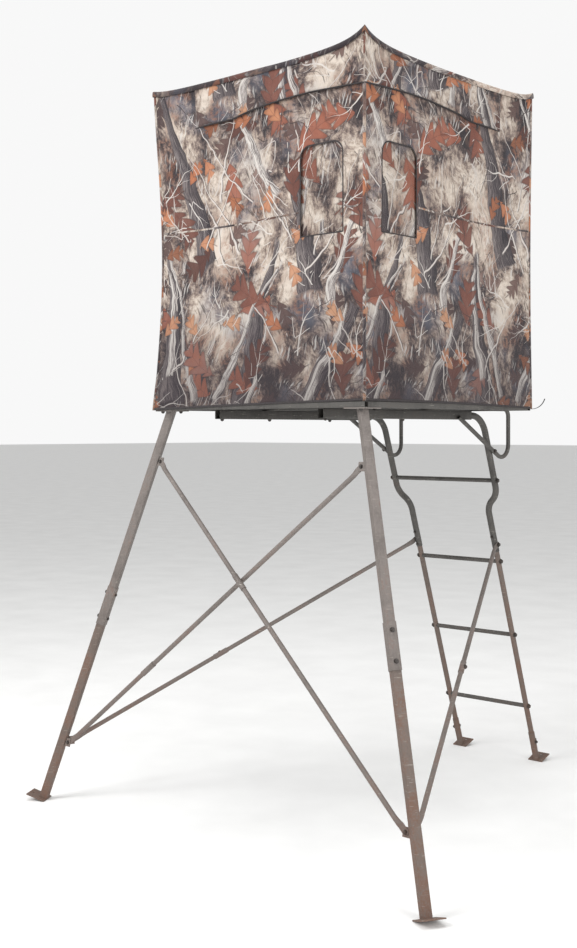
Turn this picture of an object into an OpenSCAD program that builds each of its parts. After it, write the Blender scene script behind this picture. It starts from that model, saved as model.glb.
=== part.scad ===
// Tripod hunting tower: two raked square legs and a leaning ladder carry a steel
// platform, and a square fabric blind stands on the platform. +X runs along the
// front, +Y towards the ladder, +Z up. The origin is on the ground, halfway
// between the line of the front feet and the ladder's feet.

/* [Stance] */
// Distance between the centres of the two front feet
stance_w = 2700; // [2300:10:3100]
// Distance from the line of the front feet to the ladder's feet
reach = 2644; // [2400:1:3000]
// Height of the underside of the platform's edge frame
platform_h = 2227; // [2000:1:2500]
// Distance from the line of the front feet back to the platform's front edge
setback = 321; // [200:1:420]

/* [Legs] */
// Outer width of the square leg tube
leg_w = 46; // [40:1:56]
// Wall of the square leg tube
leg_wall = 2.5; // [2:0.5:4]
// Distance from a platform corner to the leg's axis, on each side
leg_inset = 62; // [50:1:90]
// Height of the middle of the leg's joint
leg_joint_h = 1123; // [900:1:1300]
// Length of the sleeve over the leg's joint
sleeve_l = 225; // [150:5:300]
// Wall of that sleeve
sleeve_wall = 3; // [2:0.5:4]
// Width of a leg's square foot plate
foot_w = 112; // [90:2:160]
// Thickness of all foot plates
foot_t = 6; // [4:1:10]
// Diameter of the stake holes in the foot plates
stake_d = 14; // [8:1:18]

/* [Braces] */
// Outer diameter of the brace tube
brace_d = 25; // [20:1:30]
// Wall of the brace tube
brace_wall = 1.5; // [1:0.5:2.5]
// Height of the upper brace brackets on the legs
upper_bracket_h = 1940; // [1700:1:2050]
// Height of the lower brace brackets on the legs
lower_bracket_h = 340; // [250:1:600]
// Height where the long braces meet the ladder
ladder_bracket_h = 1416; // [1300:1:1550]
// Length of a brace's flattened end
tab_l = 64; // [40:1:90]
// Thickness of a flattened end
tab_t = 4; // [3:0.5:6]
// Thickness of a bracket's ear
ear_t = 5; // [3:0.5:8]

/* [Ladder] */
// Distance between the rail axes below the joggle
rail_gap = 582; // [500:2:660]
// Distance between the rail axes above the joggle
rail_gap_top = 746; // [700:2:800]
// Outer diameter of the upper rails
rail_d = 38; // [34:1:42]
// Wall of the rails
rail_wall = 2; // [1.5:0.5:3]
// Distance from the platform's back edge to the line of the rails, at beam height
ladder_gap = 75; // [50:1:110]
// Height of the joint between lower and upper rails
rail_joint_h = 1374; // [1340:1:1400]
// Height where the outward joggle starts
joggle_h = 1607; // [1560:1:1680]
// Length of the joggle along the rail
joggle_l = 180; // [160:1:220]
// Radius of the rail's bend under the platform
rail_bend_r = 150; // [120:1:160]
// Height of the lowest rung
rung_h = 370; // [300:1:400]
// Height from rung to rung below the joggle
rung_step = 470; // [440:1:480]
// Height of the top rung
top_rung_h = 1814; // [1802:1:1880]
// Outer diameter of a rung
rung_d = 26; // [22:1:32]
// Length of the foot sleeve on a rail
stub_l = 190; // [120:5:260]
// Wall of the foot sleeve
stub_wall = 3; // [2:0.5:4]
// Width of a rail's square foot plate
rail_foot_w = 100; // [80:5:140]

/* [Platform] */
// Width and depth of the platform
deck_w = 1500; // [1400:10:1600]
// Height and width of the edge frame's square tube
frame_w = 30; // [25:1:40]
// Wall of the frame's and beams' tube
frame_wall = 2; // [1.5:0.5:3]
// Height of the two main beams
beam_h = 50; // [40:1:60]
// Width of the two main beams
beam_w = 38; // [30:1:44]
// Distance from the platform's front edge to the beams' front ends
beam_set = 114; // [60:1:200]
// Thickness of the deck plate
deck_t = 3; // [2:0.5:6]
// Thickness of the corner gussets
gusset_t = 6; // [4:1:10]
// Outer diameter of the hand hoops
hoop_d = 25; // [20:1:28]
// How far the hand hoops reach out past the platform
hoop_out = 311; // [260:1:340]

/* [Blind] */
// Height of the eave above the platform frame's underside
blind_h = 1758; // [1500:1:1900]
// Rise of the roof's middle above the eave
roof_rise = 170; // [100:5:240]
// Rise of the roof's four corner tips above the eave
tip_rise = 44; // [20:1:80]
// Thickness of the fabric solids
cloth_t = 4; // [3:0.5:6]
// Outer diameter of the blind's poles
pole_d = 20; // [16:1:24]
// Width of a window
window_w = 280; // [200:5:320]
// Height of a window
window_h = 446; // [300:2:520]
// Distance from a corner to the middle of its windows
window_in = 275; // [240:5:300]
// Height of the windows' lower edge above the platform frame's underside
window_sill = 863; // [700:1:1000]
// Radius of the windows' upper corners
window_r = 60; // [20:5:100]
// Drop of the brow over each pair of windows
brow_drop = 225; // [150:5:260]
// Length of the brow along each side
brow_l = 1180; // [1000:10:1300]
// Width of the door
door_w = 600; // [500:10:640]
// Height of the door
door_h = 1560; // [1300:10:1600]
// Width of the black hook at the hem
hook_w = 14; // [8:1:20]

/* [Hidden] */
$fn = 48;

steel = [0.36, 0.33, 0.30];
dark_steel = [0.24, 0.24, 0.23];
rusty_steel = [0.40, 0.32, 0.27];
camo = [0.42, 0.34, 0.27];
black = [0.06, 0.06, 0.06];

seat = 0.3;        // clearance between cloth and what carries it
slip = 0.25;       // radial clearance of tubes that slide together
far = 6000;        // longer than any piece

half = deck_w / 2;
front_y = -reach / 2 + setback;
back_y = front_y + deck_w;
mid_y = front_y + half;
frame_top = platform_h + frame_w;
deck_top = frame_top + deck_t;
eave_z = platform_h + blind_h;
beam_mid = platform_h - beam_h / 2;

// Right leg: from its foot to the underside of its corner gusset.
leg_top = [half - leg_inset, front_y + leg_inset, platform_h - gusset_t];
leg_out = [stance_w / 2 - leg_top.x, -reach / 2 - leg_top.y];
leg_run = norm(leg_out);
leg_azimuth = atan2(leg_out.y, leg_out.x);
leg_tilt = atan(leg_run / leg_top.z);
foot_z = leg_w / 2 * sin(leg_tilt);
leg_slope = leg_run / (leg_top.z - foot_z);
leg_angle = atan(leg_slope);
leg_cos = cos(leg_angle);
leg_foot = [stance_w / 2, -reach / 2, foot_z];
function leg_at(h) = leg_foot + (leg_top - leg_foot) * (h - foot_z) / (leg_top.z - foot_z);
function leg_run_to(h) = (h - foot_z) / leg_cos;

// Ladder: the rails lie in one leaning plane.
rail_run = reach / 2 - back_y - ladder_gap;
rail_foot_in = rail_d / 2;
rail_foot_z = rail_foot_in * sin(atan(rail_run / beam_mid));
ladder_lean = atan(rail_run / (beam_mid - rail_foot_z));
function rail_run_to(h) = (h - rail_foot_z) / cos(ladder_lean);
function rail_y(h) = reach / 2 - (h - rail_foot_z) * tan(ladder_lean);
rail_x = rail_gap / 2;
stake_in = stake_d / 2 + 12;
rail_x_top = rail_gap_top / 2;
rail_inner_d = rail_d - 2 * rail_wall;
bend_sides = 16;
lower_rail_d = rail_inner_d * cos(180 / bend_sides) - 2 * slip;
rail_insert = 110;
beam_end = back_y - 60;
joggle_angle = 2 * atan((rail_x_top - rail_x) / joggle_l);
joggle_r = joggle_l / 2 / sin(joggle_angle);
rail_bend = 90 - ladder_lean;
rail_tangent = rail_bend_r * tan(rail_bend / 2);
rung_heights = [for (i = [0:2]) rung_h + i * rung_step, top_rung_h];

// The plane that holds both leg axes leans back from the feet.
x_plane_lean = atan((leg_top.y + reach / 2) / (leg_top.z - foot_z));
function in_x_plane(h) = [leg_at(h).x, (h - foot_z) / cos(x_plane_lean)];
ear_reach = 70;
ear_h = 46;
brace_off = brace_d / 2 + 1;
tab_off = (ear_t + tab_t) / 2;

hoop_x = rail_x_top + (beam_w + hoop_d) / 2 + seat;
hoop_top_r = 45;
hoop_low_r = 75;
hoop_rise = 29;
hoop_drop = 167;
hoop_return = 470;

cloth_in = half + seat;
cloth_out = cloth_in + cloth_t;
pole_in = half - pole_d / 2 - 2;
bow_d = pole_d - 4;
hem_z = platform_h + 4;
hook_r = 80;
wall_top = eave_z - cloth_t;
window_z = platform_h + window_sill;
roof_n = 16;

module below(h) {
    translate([-far, -far, h - far])
        cube([2 * far, 2 * far, far]);
}

module on_leg(side) {
    mirror([side < 0 ? 1 : 0, 0, 0])
        translate(leg_foot)
            rotate([0, 0, leg_azimuth])
                rotate([0, -leg_angle, 0])
                    children();
}

module on_ladder() {
    translate([0, reach / 2, rail_foot_z])
        rotate([ladder_lean, 0, 0])
            children();
}

module on_x_plane() {
    translate([0, -reach / 2, foot_z])
        rotate([-x_plane_lean, 0, 0])
            children();
}

// Points +Z from p to q and keeps +Y level.
module aim(p, q) {
    d = q - p;
    translate(p)
        rotate([0, acos(d.z / norm(d)), atan2(d.y, d.x)])
            children();
}

module square_tube(w, d, wall, l) {
    translate([0, 0, l / 2])
        difference() {
            cube([w, d, l], center = true);
            cube([w - 2 * wall, d - 2 * wall, l + 2], center = true);
        }
}

module round_tube(d, wall, l) {
    difference() {
        cylinder(d = d, h = l);
        translate([0, 0, -1])
            cylinder(d = d - 2 * wall, h = l + 2);
    }
}

function shift(v) = [[1, 0, 0, v.x], [0, 1, 0, v.y], [0, 0, 1, v.z], [0, 0, 0, 1]];
function turn_y(a) = [[cos(a), 0, sin(a), 0], [0, 1, 0, 0], [-sin(a), 0, cos(a), 0], [0, 0, 0, 1]];
function turn_z(a) = [[cos(a), -sin(a), 0, 0], [sin(a), cos(a), 0, 0], [0, 0, 1, 0], [0, 0, 0, 1]];
function arc(r, a, roll) =
    turn_z(roll) * shift([r * (1 - cos(a)), 0, r * sin(a)]) * turn_y(a) * turn_z(-roll);

// Frames along a bent tube that starts along +Z. Each step is
// [straight length, bend radius, bend angle, direction of the bend].
function bend_frames(steps, i = 0, m = shift([0, 0, 0])) =
    let (
        step = steps[i],
        at = m * shift([0, 0, step[0]]),
        n = ceil(step[2] / 9),
        bend = [for (j = [1:1:n]) at * arc(step[1], step[2] * j / n, step[3])],
        here = concat([at], bend)
    )
    i + 1 < len(steps) ? concat(here, bend_frames(steps, i + 1, here[len(here) - 1])) : here;

function ring_point(m, r, a) = let (p = m * [r * cos(a), r * sin(a), 0, 1]) [p.x, p.y, p.z];

module bent_tube(steps, d, wall) {
    frames = concat([shift([0, 0, 0])], bend_frames(steps));
    n = bend_sides;
    k = len(frames);
    inner = k * n;
    points = [for (r = [d / 2, d / 2 - wall], m = frames, j = [0:n - 1])
        ring_point(m, r, 360 * j / n)];
    sides = [for (i = [0:k - 2], j = [0:n - 1])
        let (a = i * n + j, b = i * n + (j + 1) % n)
            each [[a, a + n, b + n], [a, b + n, b],
                [a + inner, b + n + inner, a + n + inner], [a + inner, b + inner, b + n + inner]]];
    ends = [for (j = [0:n - 1])
        let (a = j, b = (j + 1) % n, c = a + (k - 1) * n, e = b + (k - 1) * n)
            each [[a, b, b + inner], [a, b + inner, a + inner],
                [c, e + inner, e], [c, c + inner, e + inner]]];
    polyhedron(points, concat(sides, ends));
}

module box_between(low, high) {
    translate(low)
        cube(high - low);
}

// ---- legs ----

module leg_lower(side) {
    color(rusty_steel)
        on_leg(side)
            translate([0, 0, foot_t])
                square_tube(leg_w, leg_w, leg_wall, leg_run_to(leg_joint_h) - foot_t - slip);
}

module leg_upper(side) {
    color(steel)
        intersection() {
            on_leg(side)
                translate([0, 0, leg_run_to(leg_joint_h)])
                    square_tube(leg_w, leg_w, leg_wall, leg_run_to(platform_h));
            below(leg_top.z);
        }
}

module leg_sleeves() {
    color(steel)
        for (side = [-1, 1])
            on_leg(side)
                translate([0, 0, leg_run_to(leg_joint_h) - sleeve_l / 2])
                    square_tube(leg_w + 2 * (slip + sleeve_wall), leg_w + 2 * (slip + sleeve_wall),
                        sleeve_wall, sleeve_l);
}

module leg_blank(side) {
    on_leg(side)
        translate([-leg_w / 2, -leg_w / 2, 0])
            cube([leg_w, leg_w, leg_run_to(platform_h)]);
}

// Ears welded to a leg: one in the plane of the crossed braces at each height,
// and one towards the ladder at the lower height.
module leg_brackets() {
    color(steel)
        for (side = [-1, 1])
            difference() {
                union() {
                    for (h = [upper_bracket_h, lower_bracket_h])
                        on_x_plane()
                            translate([side * in_x_plane(h).x, 0, in_x_plane(h).y])
                                mirror([side > 0 ? 1 : 0, 0, 0])
                                    translate([0, -ear_t / 2, -ear_h / 2])
                                        cube([ear_reach, ear_t, ear_h]);
                    mirror([side < 0 ? 1 : 0, 0, 0])
                        translate(leg_at(lower_bracket_h))
                            rotate([0, 0, long_azimuth])
                                translate([0, -ear_t / 2, -ear_h / 2])
                                    cube([ear_reach, ear_t, ear_h]);
                }
                leg_blank(side);
            }
}

module foot_plate(side) {
    color(rusty_steel)
        on_leg(side)
            difference() {
                translate([-leg_w / 2, -foot_w / 2, 0])
                    cube([foot_w, foot_w, foot_t]);
                translate([foot_w - leg_w / 2 - stake_in, 0, -1])
                    cylinder(d = stake_d, h = foot_t + 2);
            }
}

// ---- braces ----

// A tube from z = 0 to l with a flattened tab at each end, tabs shifted by tab_y.
module brace(l, tab_y) {
    translate([0, 0, tab_l - 20])
        round_tube(brace_d, brace_wall, l - 2 * (tab_l - 20));
    for (z = [-14, l + 14 - tab_l])
        translate([-brace_d / 2, tab_y - tab_t / 2, z])
            cube([brace_d, tab_t, tab_l]);
}

module cross_brace(side) {
    p = in_x_plane(upper_bracket_h);
    q = in_x_plane(lower_bracket_h);
    ear = ear_reach - 18;
    high = [-side * (p.x - ear), p.y];
    low = [side * (q.x - ear), q.y];
    off = side * brace_off;
    color(steel)
        on_x_plane()
            translate([low.x, -off, low.y])
                rotate([0, atan2(high.x - low.x, high.y - low.y), 0])
                    brace(norm(high - low), side * (brace_off - tab_off));
}

long_start = leg_at(lower_bracket_h);
long_end = [rail_x + rail_d / 2 + tab_t / 2 + seat, rail_y(ladder_bracket_h), ladder_bracket_h];
long_azimuth = atan2(long_end.y - long_start.y, long_end.x - long_start.x);
long_ear = ear_reach - 18;
long_off = tab_off + seat;
long_foot = long_start + [long_ear * cos(long_azimuth) - long_off * sin(long_azimuth),
    long_ear * sin(long_azimuth) + long_off * cos(long_azimuth), 0];
long_tab = [0, rail_y(ladder_bracket_h) - long_start.y, ladder_bracket_h - long_start.z];
long_tab_dir = long_tab / norm(long_tab);
long_knee = long_end - long_tab_dir * (tab_l - 24);

module long_brace(side) {
    l = norm(long_knee - long_foot);
    color(steel)
        mirror([side < 0 ? 1 : 0, 0, 0]) {
            aim(long_foot, long_knee) {
                translate([0, 0, tab_l - 20])
                    round_tube(brace_d, brace_wall, l - tab_l + 20);
                translate([-brace_d / 2, -tab_t / 2, -14])
                    cube([brace_d, tab_t, tab_l]);
            }
            translate(long_end)
                rotate([-atan2(long_tab_dir.y, long_tab_dir.z), 0, 0])
                    translate([-tab_t / 2, -brace_d / 2, 10 - tab_l])
                        cube([tab_t, brace_d, tab_l]);
        }
}

// ---- ladder ----

module rail_lower(side) {
    color(rusty_steel)
        on_ladder()
            translate([side * rail_x, 0, foot_t])
                round_tube(lower_rail_d, rail_wall, rail_run_to(rail_joint_h) + rail_insert - foot_t);
}

module rail_upper(side) {
    joint = rail_run_to(rail_joint_h);
    joggle = rail_run_to(joggle_h);
    bend = rail_run_to(beam_mid) - rail_tangent;
    out = back_y + ladder_gap - rail_tangent - beam_end;
    steps = [[joggle - joint, joggle_r, joggle_angle, 0],
        [0.5, joggle_r, joggle_angle, 180],
        [bend - joggle - joggle_l - 0.5, rail_bend_r, rail_bend, -90],
        [out, 0, 0, 0]];
    color(dark_steel)
        mirror([side < 0 ? 1 : 0, 0, 0])
            on_ladder()
                translate([rail_x, 0, joint])
                    bent_tube(steps, rail_d, rail_wall);
}

module rungs() {
    color(dark_steel)
        on_ladder()
            for (h = rung_heights) {
                top = h > joggle_h + joggle_l / 2;
                lower = h < rail_joint_h;
                x = top ? rail_x_top : rail_x;
                d = (lower ? lower_rail_d : rail_d) + 2 * seat;
                difference() {
                    translate([-x, 0, rail_run_to(h)])
                        rotate([0, 90, 0])
                            cylinder(d = rung_d, h = 2 * x);
                    translate([-x - 1, 0, rail_run_to(h)])
                        rotate([0, 90, 0])
                            cylinder(d = rung_d - 3, h = 2 * x + 2);
                    for (side = [-1, 1])
                        translate([side * x, 0, rail_run_to(h) - rung_d])
                            cylinder(d = d, h = 2 * rung_d);
                }
            }
}

module rail_foot(side) {
    color(rusty_steel)
        on_ladder()
            translate([side * rail_x, 0, 0]) {
                difference() {
                    translate([-rail_foot_w / 2, -rail_foot_in, 0])
                        cube([rail_foot_w, rail_foot_w, foot_t]);
                    translate([0, rail_foot_w - rail_foot_in - stake_in, -1])
                        cylinder(d = stake_d, h = foot_t + 2);
                }
                translate([0, 0, foot_t])
                    round_tube(lower_rail_d + 2 * (slip + stub_wall), stub_wall, stub_l);
            }
}

// ---- platform ----

module hand_hoop(side) {
    steps = [[hoop_out - hoop_top_r - seat, hoop_top_r, 90, 90],
        [hoop_drop, hoop_low_r, 90 + hoop_rise, 90],
        [hoop_return, 0, 0, 0]];
    color(dark_steel)
        translate([side * hoop_x, back_y + seat, platform_h + frame_w / 2])
            rotate([-90, 0, 0])
                bent_tube(steps, hoop_d, rail_wall);
}

module main_beams() {
    color(dark_steel)
        for (side = [-1, 1])
            translate([side * rail_x_top, front_y + beam_set, beam_mid])
                rotate([-90, 0, 0])
                    square_tube(beam_w, beam_h, frame_wall, beam_end - front_y - beam_set);
}

module frame_rail(y) {
    color(dark_steel)
        translate([-half, y, platform_h + frame_w / 2])
            rotate([90, 0, 90])
                square_tube(frame_w, frame_w, frame_wall, deck_w);
}

module frame_sides() {
    color(dark_steel)
        for (side = [-1, 1])
            translate([side * (half - frame_w / 2), front_y + frame_w, platform_h + frame_w / 2])
                rotate([-90, 0, 0])
                    square_tube(frame_w, frame_w, frame_wall, deck_w - 2 * frame_w);
}

module cross_members() {
    color(dark_steel)
        for (y = [mid_y - deck_w / 6, mid_y + deck_w / 6])
            translate([-half + frame_w, y, platform_h + frame_w / 2])
                rotate([90, 0, 90])
                    square_tube(frame_w, frame_w, frame_wall, deck_w - 2 * frame_w);
}

module corner_gussets() {
    size = leg_inset + 1.5 * leg_w;
    color(steel)
        for (side = [-1, 1])
            translate([side > 0 ? half - size : -half, front_y, platform_h - gusset_t])
                cube([size, size, gusset_t]);
}

module deck() {
    edge = half - pole_d - 4;
    color(dark_steel)
        box_between([-edge, mid_y - edge, frame_top], [edge, mid_y + edge, deck_top]);
}

// ---- blind ----

// Height of the roof over the eave; u and v run from -1 to 1 across it.
function bump(t) = 1 - t * t;
function roof_z(u, v) = roof_rise * bump(u) * bump(v) + tip_rise * pow(abs(u * v), 10);
roof_edge = cloth_out + slip + cloth_t;
pole_corner = (pole_in - pole_d / 2) / roof_edge;
corner_pole_top = eave_z + roof_z(pole_corner, pole_corner) - cloth_t - seat;

module corner_poles() {
    color(dark_steel)
        for (x = [-pole_in, pole_in], y = [mid_y - pole_in, mid_y + pole_in])
            translate([x, y, frame_top])
                round_tube(pole_d, 1.5, corner_pole_top - frame_top);
}

module eave_poles() {
    l = 2 * pole_in - pole_d - 2 * seat;
    color(dark_steel)
        translate([0, mid_y, eave_z - cloth_t - pole_d / 2 - 2])
            for (a = [0, 90, 180, 270])
                rotate([0, 0, a])
                    translate([-l / 2, -pole_in, 0])
                        rotate([0, 90, 0])
                            round_tube(pole_d, 1.5, l);
}

// Two bowed poles run from eave to eave and carry the roof's middle.
module roof_poles() {
    color(dark_steel)
        for (a = [0, 90])
            around_blind(a)
                roof_pole(a == 0 ? 0 : bow_d + seat);
}

module roof_pole(drop) {
    end = pole_in - pole_d / 2 - 4 * seat;
    foot = eave_z - cloth_t - pole_d / 2 - 2;
    rise = eave_z + roof_rise - cloth_t - 5 * seat - bow_d / 2 - drop - foot;
    r = (end * end + rise * rise) / (2 * rise);
    a = 2 * asin(end / r);
    translate([0, 0, foot + rise - r])
        rotate([90, 0, 0])
            rotate([0, 0, 90 - a / 2])
                rotate_extrude(angle = a, $fn = 480)
                    translate([r, 0])
                        difference() {
                            circle(d = bow_d);
                            circle(d = bow_d - 3);
                        }
}

// Outline of a window, sill at y = 0, with round upper corners.
module window_shape(w, h, r) {
    translate([-w / 2, 0])
        square([w, h - r]);
    translate([-w / 2 + r, 0])
        square([w - 2 * r, h]);
    for (x = [-w / 2 + r, w / 2 - r])
        translate([x, h - r])
            circle(r = r);
}

// A wall that faces -Y, its window near its +X end, its length l. A doorway needs
// opening_w, and hoop_slots cuts its hem where the hand hoops pass.
module wall(l, opening_w = 0, hoop_slots = false) {
    color(camo)
        translate([0, -cloth_in, 0])
            rotate([90, 0, 0])
                linear_extrude(cloth_t)
                    difference() {
                        translate([-l / 2, hem_z])
                            square([l, wall_top - hem_z]);
                        translate([half - window_in, window_z])
                            window_shape(window_w, window_h, window_r);
                        if (opening_w > 0)
                            translate([-opening_w / 2, deck_top])
                                square([opening_w, door_h]);
                        if (hoop_slots)
                            for (x = [-hoop_x, hoop_x])
                                translate([x - hoop_d / 2 - seat, hem_z - 1])
                                    square([hoop_d + 2 * seat,
                                        platform_h + (frame_w + hoop_d) / 2 + seat - hem_z + 1]);
                    }
}

module around_blind(a) {
    translate([0, mid_y, 0])
        rotate([0, 0, a])
            children();
}

module wall_front() {
    around_blind(0)
        wall(2 * cloth_out);
}

module wall_right() {
    around_blind(90)
        mirror([1, 0, 0])
            wall(2 * cloth_in);
}

module wall_back() {
    around_blind(180)
        wall(2 * cloth_out, door_w, true);
}

module wall_left() {
    around_blind(270)
        mirror([1, 0, 0])
            wall(2 * cloth_in);
}

module door_panel() {
    color(camo)
        around_blind(180)
            box_between([-door_w / 2 + slip, -cloth_out, deck_top + slip],
                [door_w / 2 - slip, -cloth_in, deck_top + door_h - slip]);
}

module window_mesh(a, flip) {
    margin = 26;
    color([0.32, 0.27, 0.22])
        around_blind(a)
            mirror([flip ? 1 : 0, 0, 0])
                box_between(
                    [half - window_in - window_w / 2 - margin, -cloth_in + slip, window_z - margin],
                    [half - window_in + window_w / 2 + margin, -cloth_in + slip + 3,
                        window_z + window_h + margin]);
}

// An angled band over the two windows of one corner.
module brow(a) {
    inner = cloth_out + slip;
    outer = inner + cloth_t;
    low = wall_top - brow_drop;
    color(camo)
        around_blind(a)
            difference() {
                box_between([inner - brow_l, -outer, low], [outer, brow_l - inner, wall_top]);
                box_between([-far, -inner, 0], [inner, far, far]);
            }
}

module roof() {
    n = roof_n;
    m = n + 1;
    place = [for (j = [0:n], i = [0:n]) [2 * i / n - 1, 2 * j / n - 1]];
    top = [for (p = place) [p.x * roof_edge, p.y * roof_edge, eave_z + roof_z(p.x, p.y)]];
    under = [for (p = top) p - [0, 0, cloth_t]];
    faces_top = [for (j = [0:n - 1], i = [0:n - 1])
        let (k = j * m + i) each [[k, k + m, k + m + 1], [k, k + m + 1, k + 1]]];
    faces_under = [for (f = faces_top) [f[2] + m * m, f[1] + m * m, f[0] + m * m]];
    ring = concat([for (i = [0:n - 1]) i], [for (j = [0:n - 1]) j * m + n],
        [for (i = [n:-1:1]) n * m + i], [for (j = [n:-1:1]) j * m]);
    faces_edge = [for (i = [0:len(ring) - 1])
        let (a = ring[i], b = ring[(i + 1) % len(ring)])
            each [[a, b, b + m * m], [a, b + m * m, a + m * m]]];
    color(camo)
        around_blind(0)
            polyhedron(concat(top, under), concat(faces_top, faces_under, faces_edge));
}

// A black hook that curls out of the hem at the right-hand back corner.
module hem_hook() {
    color(black)
        around_blind(0)
            translate([cloth_out + slip, cloth_out + slip, hem_z + hook_r + 4])
                rotate([90, 0, 45])
                    rotate([0, 0, -90])
                        rotate_extrude(angle = 75)
                            translate([hook_r - 3, -hook_w / 2])
                                square([3, hook_w]);
}

leg_lower(-1);  // leg_lower_left
leg_lower(1);  // leg_lower_right
leg_upper(-1);  // leg_upper_left
leg_upper(1);  // leg_upper_right
leg_sleeves();
leg_brackets();
foot_plate(-1);  // foot_plate_left
foot_plate(1);  // foot_plate_right
cross_brace(1);  // cross_brace_front
cross_brace(-1);  // cross_brace_rear
long_brace(-1);  // long_brace_left
long_brace(1);  // long_brace_right
rail_lower(-1);  // rail_lower_left
rail_lower(1);  // rail_lower_right
rail_upper(-1);  // rail_upper_left
rail_upper(1);  // rail_upper_right
rungs();
rail_foot(-1);  // rail_foot_left
rail_foot(1);  // rail_foot_right
hand_hoop(-1);  // hand_hoop_left
hand_hoop(1);  // hand_hoop_right
main_beams();
frame_rail(front_y + frame_w / 2);  // frame_front
frame_rail(back_y - frame_w / 2);  // frame_back
frame_sides();
cross_members();
corner_gussets();
deck();
corner_poles();
eave_poles();
roof_poles();
wall_front();
wall_right();
wall_back();
wall_left();
door_panel();
window_mesh(0, false);  // window_mesh_front
window_mesh(90, true);  // window_mesh_right
window_mesh(180, false);  // window_mesh_back
window_mesh(270, true);  // window_mesh_left
brow(0);  // brow_front
brow(180);  // brow_back
roof();
hem_hook();
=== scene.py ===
import math
import random

import bmesh
import bpy
import numpy as np
from mathutils import Matrix, Vector
from mathutils.geometry import delaunay_2d_cdt


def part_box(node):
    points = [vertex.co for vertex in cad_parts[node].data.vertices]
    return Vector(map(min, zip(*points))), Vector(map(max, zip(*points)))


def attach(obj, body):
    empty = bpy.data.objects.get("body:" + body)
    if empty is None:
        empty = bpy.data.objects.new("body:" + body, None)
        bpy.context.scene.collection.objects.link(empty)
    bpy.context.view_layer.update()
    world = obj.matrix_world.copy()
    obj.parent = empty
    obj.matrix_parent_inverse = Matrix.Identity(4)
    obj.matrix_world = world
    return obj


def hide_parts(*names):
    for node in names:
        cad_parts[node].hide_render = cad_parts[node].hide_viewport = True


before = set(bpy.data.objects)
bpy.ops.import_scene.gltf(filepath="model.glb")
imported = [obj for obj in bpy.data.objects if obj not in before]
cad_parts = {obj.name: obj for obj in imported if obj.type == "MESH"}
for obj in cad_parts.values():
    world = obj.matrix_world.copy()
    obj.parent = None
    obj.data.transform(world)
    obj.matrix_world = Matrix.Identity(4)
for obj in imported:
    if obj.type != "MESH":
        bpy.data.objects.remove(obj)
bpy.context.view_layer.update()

# ---- Camera, floor and light ----
# A level camera stands off the near corner of the blind. A pale floor runs out to
# the horizon, and large soft lamps hang in front, to the right and overhead.
lens_mm, eye = 48.18, Vector((4.5856, -5.7621, 2.117))
camera = bpy.data.objects.new("camera", bpy.data.cameras.new("camera"))
camera.data.sensor_width = 36
camera.data.lens = lens_mm
camera.data.shift_y = -0.0464
camera.data.clip_end = 400
camera.location = eye
camera.rotation_euler = (math.radians(90), 0, math.atan2(0.6728, 0.7398))
bpy.context.scene.collection.objects.link(camera)
bpy.context.scene.camera = camera
bpy.context.scene.view_settings.view_transform = "Standard"

world = bpy.data.worlds.new("studio")
world.use_nodes = True
world.node_tree.nodes["Background"].inputs["Color"].default_value = (1.0, 1.0, 1.0, 1)
sky_path = world.node_tree.nodes.new("ShaderNodeLightPath")
sky_power = world.node_tree.nodes.new("ShaderNodeMapRange")
sky_power.inputs["To Min"].default_value = 0.62
sky_power.inputs["To Max"].default_value = 0.94
world.node_tree.links.new(sky_path.outputs["Is Camera Ray"], sky_power.inputs["Value"])
world.node_tree.links.new(sky_power.outputs["Result"], world.node_tree.nodes["Background"].inputs["Strength"])
bpy.context.scene.world = world
for name, place, size, power in (("key", (-2.5, -8.5, 7.0), 4.5, 560), ("side", (9.0, -2.0, 3.4), 4.0, 330),
                                 ("top", (0.5, -1.5, 10.0), 6.0, 300)):
    lamp = bpy.data.objects.new(name, bpy.data.lights.new(name, "AREA"))
    lamp.data.size = size
    lamp.data.energy = power
    lamp.location = place
    lamp.rotation_euler = (Vector((0, -0.25, 2.4)) - Vector(place)).to_track_quat("-Z", "Y").to_euler()
    bpy.context.scene.collection.objects.link(lamp)


class Wire:
    """One socket of a material. Sums, products and comparisons of wires add Math nodes."""

    def __init__(self, tree, socket=None):
        self.tree = tree
        self.socket = socket

    def node(self, kind, settings=None, sockets=None, out=0):
        made = self.tree.nodes.new("ShaderNode" + kind)
        for key, value in (settings or {}).items():
            if key == "stops":
                stops = made.color_ramp.elements
                stops.remove(stops[1])
                stops[0].position, stops[0].color = value[0][0], value[0][1]
                for at, colour in value[1:]:
                    stops.new(at).color = colour
            else:
                setattr(made, key, value)
        for key, value in (sockets or {}).items():
            if isinstance(value, Wire):
                self.tree.links.new(value.socket, made.inputs[key])
            else:
                made.inputs[key].default_value = value
        return Wire(self.tree, made.outputs[out] if len(made.outputs) else None)

    def other(self, out):
        return Wire(self.tree, self.socket.node.outputs[out])

    def math(self, operation, *values, clamp=False):
        return self.node("Math", {"operation": operation, "use_clamp": clamp}, dict(enumerate(values)))

    def vector(self, operation, *values, out=0):
        return self.node("VectorMath", {"operation": operation}, dict(enumerate(values)), out)

    def tint(self, colour, amount):
        return self.node("Mix", {"data_type": "RGBA"}, {0: amount, 6: self, 7: colour}, 2)

    def __add__(self, other):
        return self.math("ADD", self, other)

    __radd__ = __add__

    def __sub__(self, other):
        return self.math("SUBTRACT", self, other)

    def __rsub__(self, other):
        return self.math("SUBTRACT", other, self)

    def __mul__(self, other):
        return self.math("MULTIPLY", self, other)

    __rmul__ = __mul__

    def __abs__(self):
        return self.math("ABSOLUTE", self)

    def clamp(self):
        return self.math("ADD", self, 0.0, clamp=True)


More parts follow.
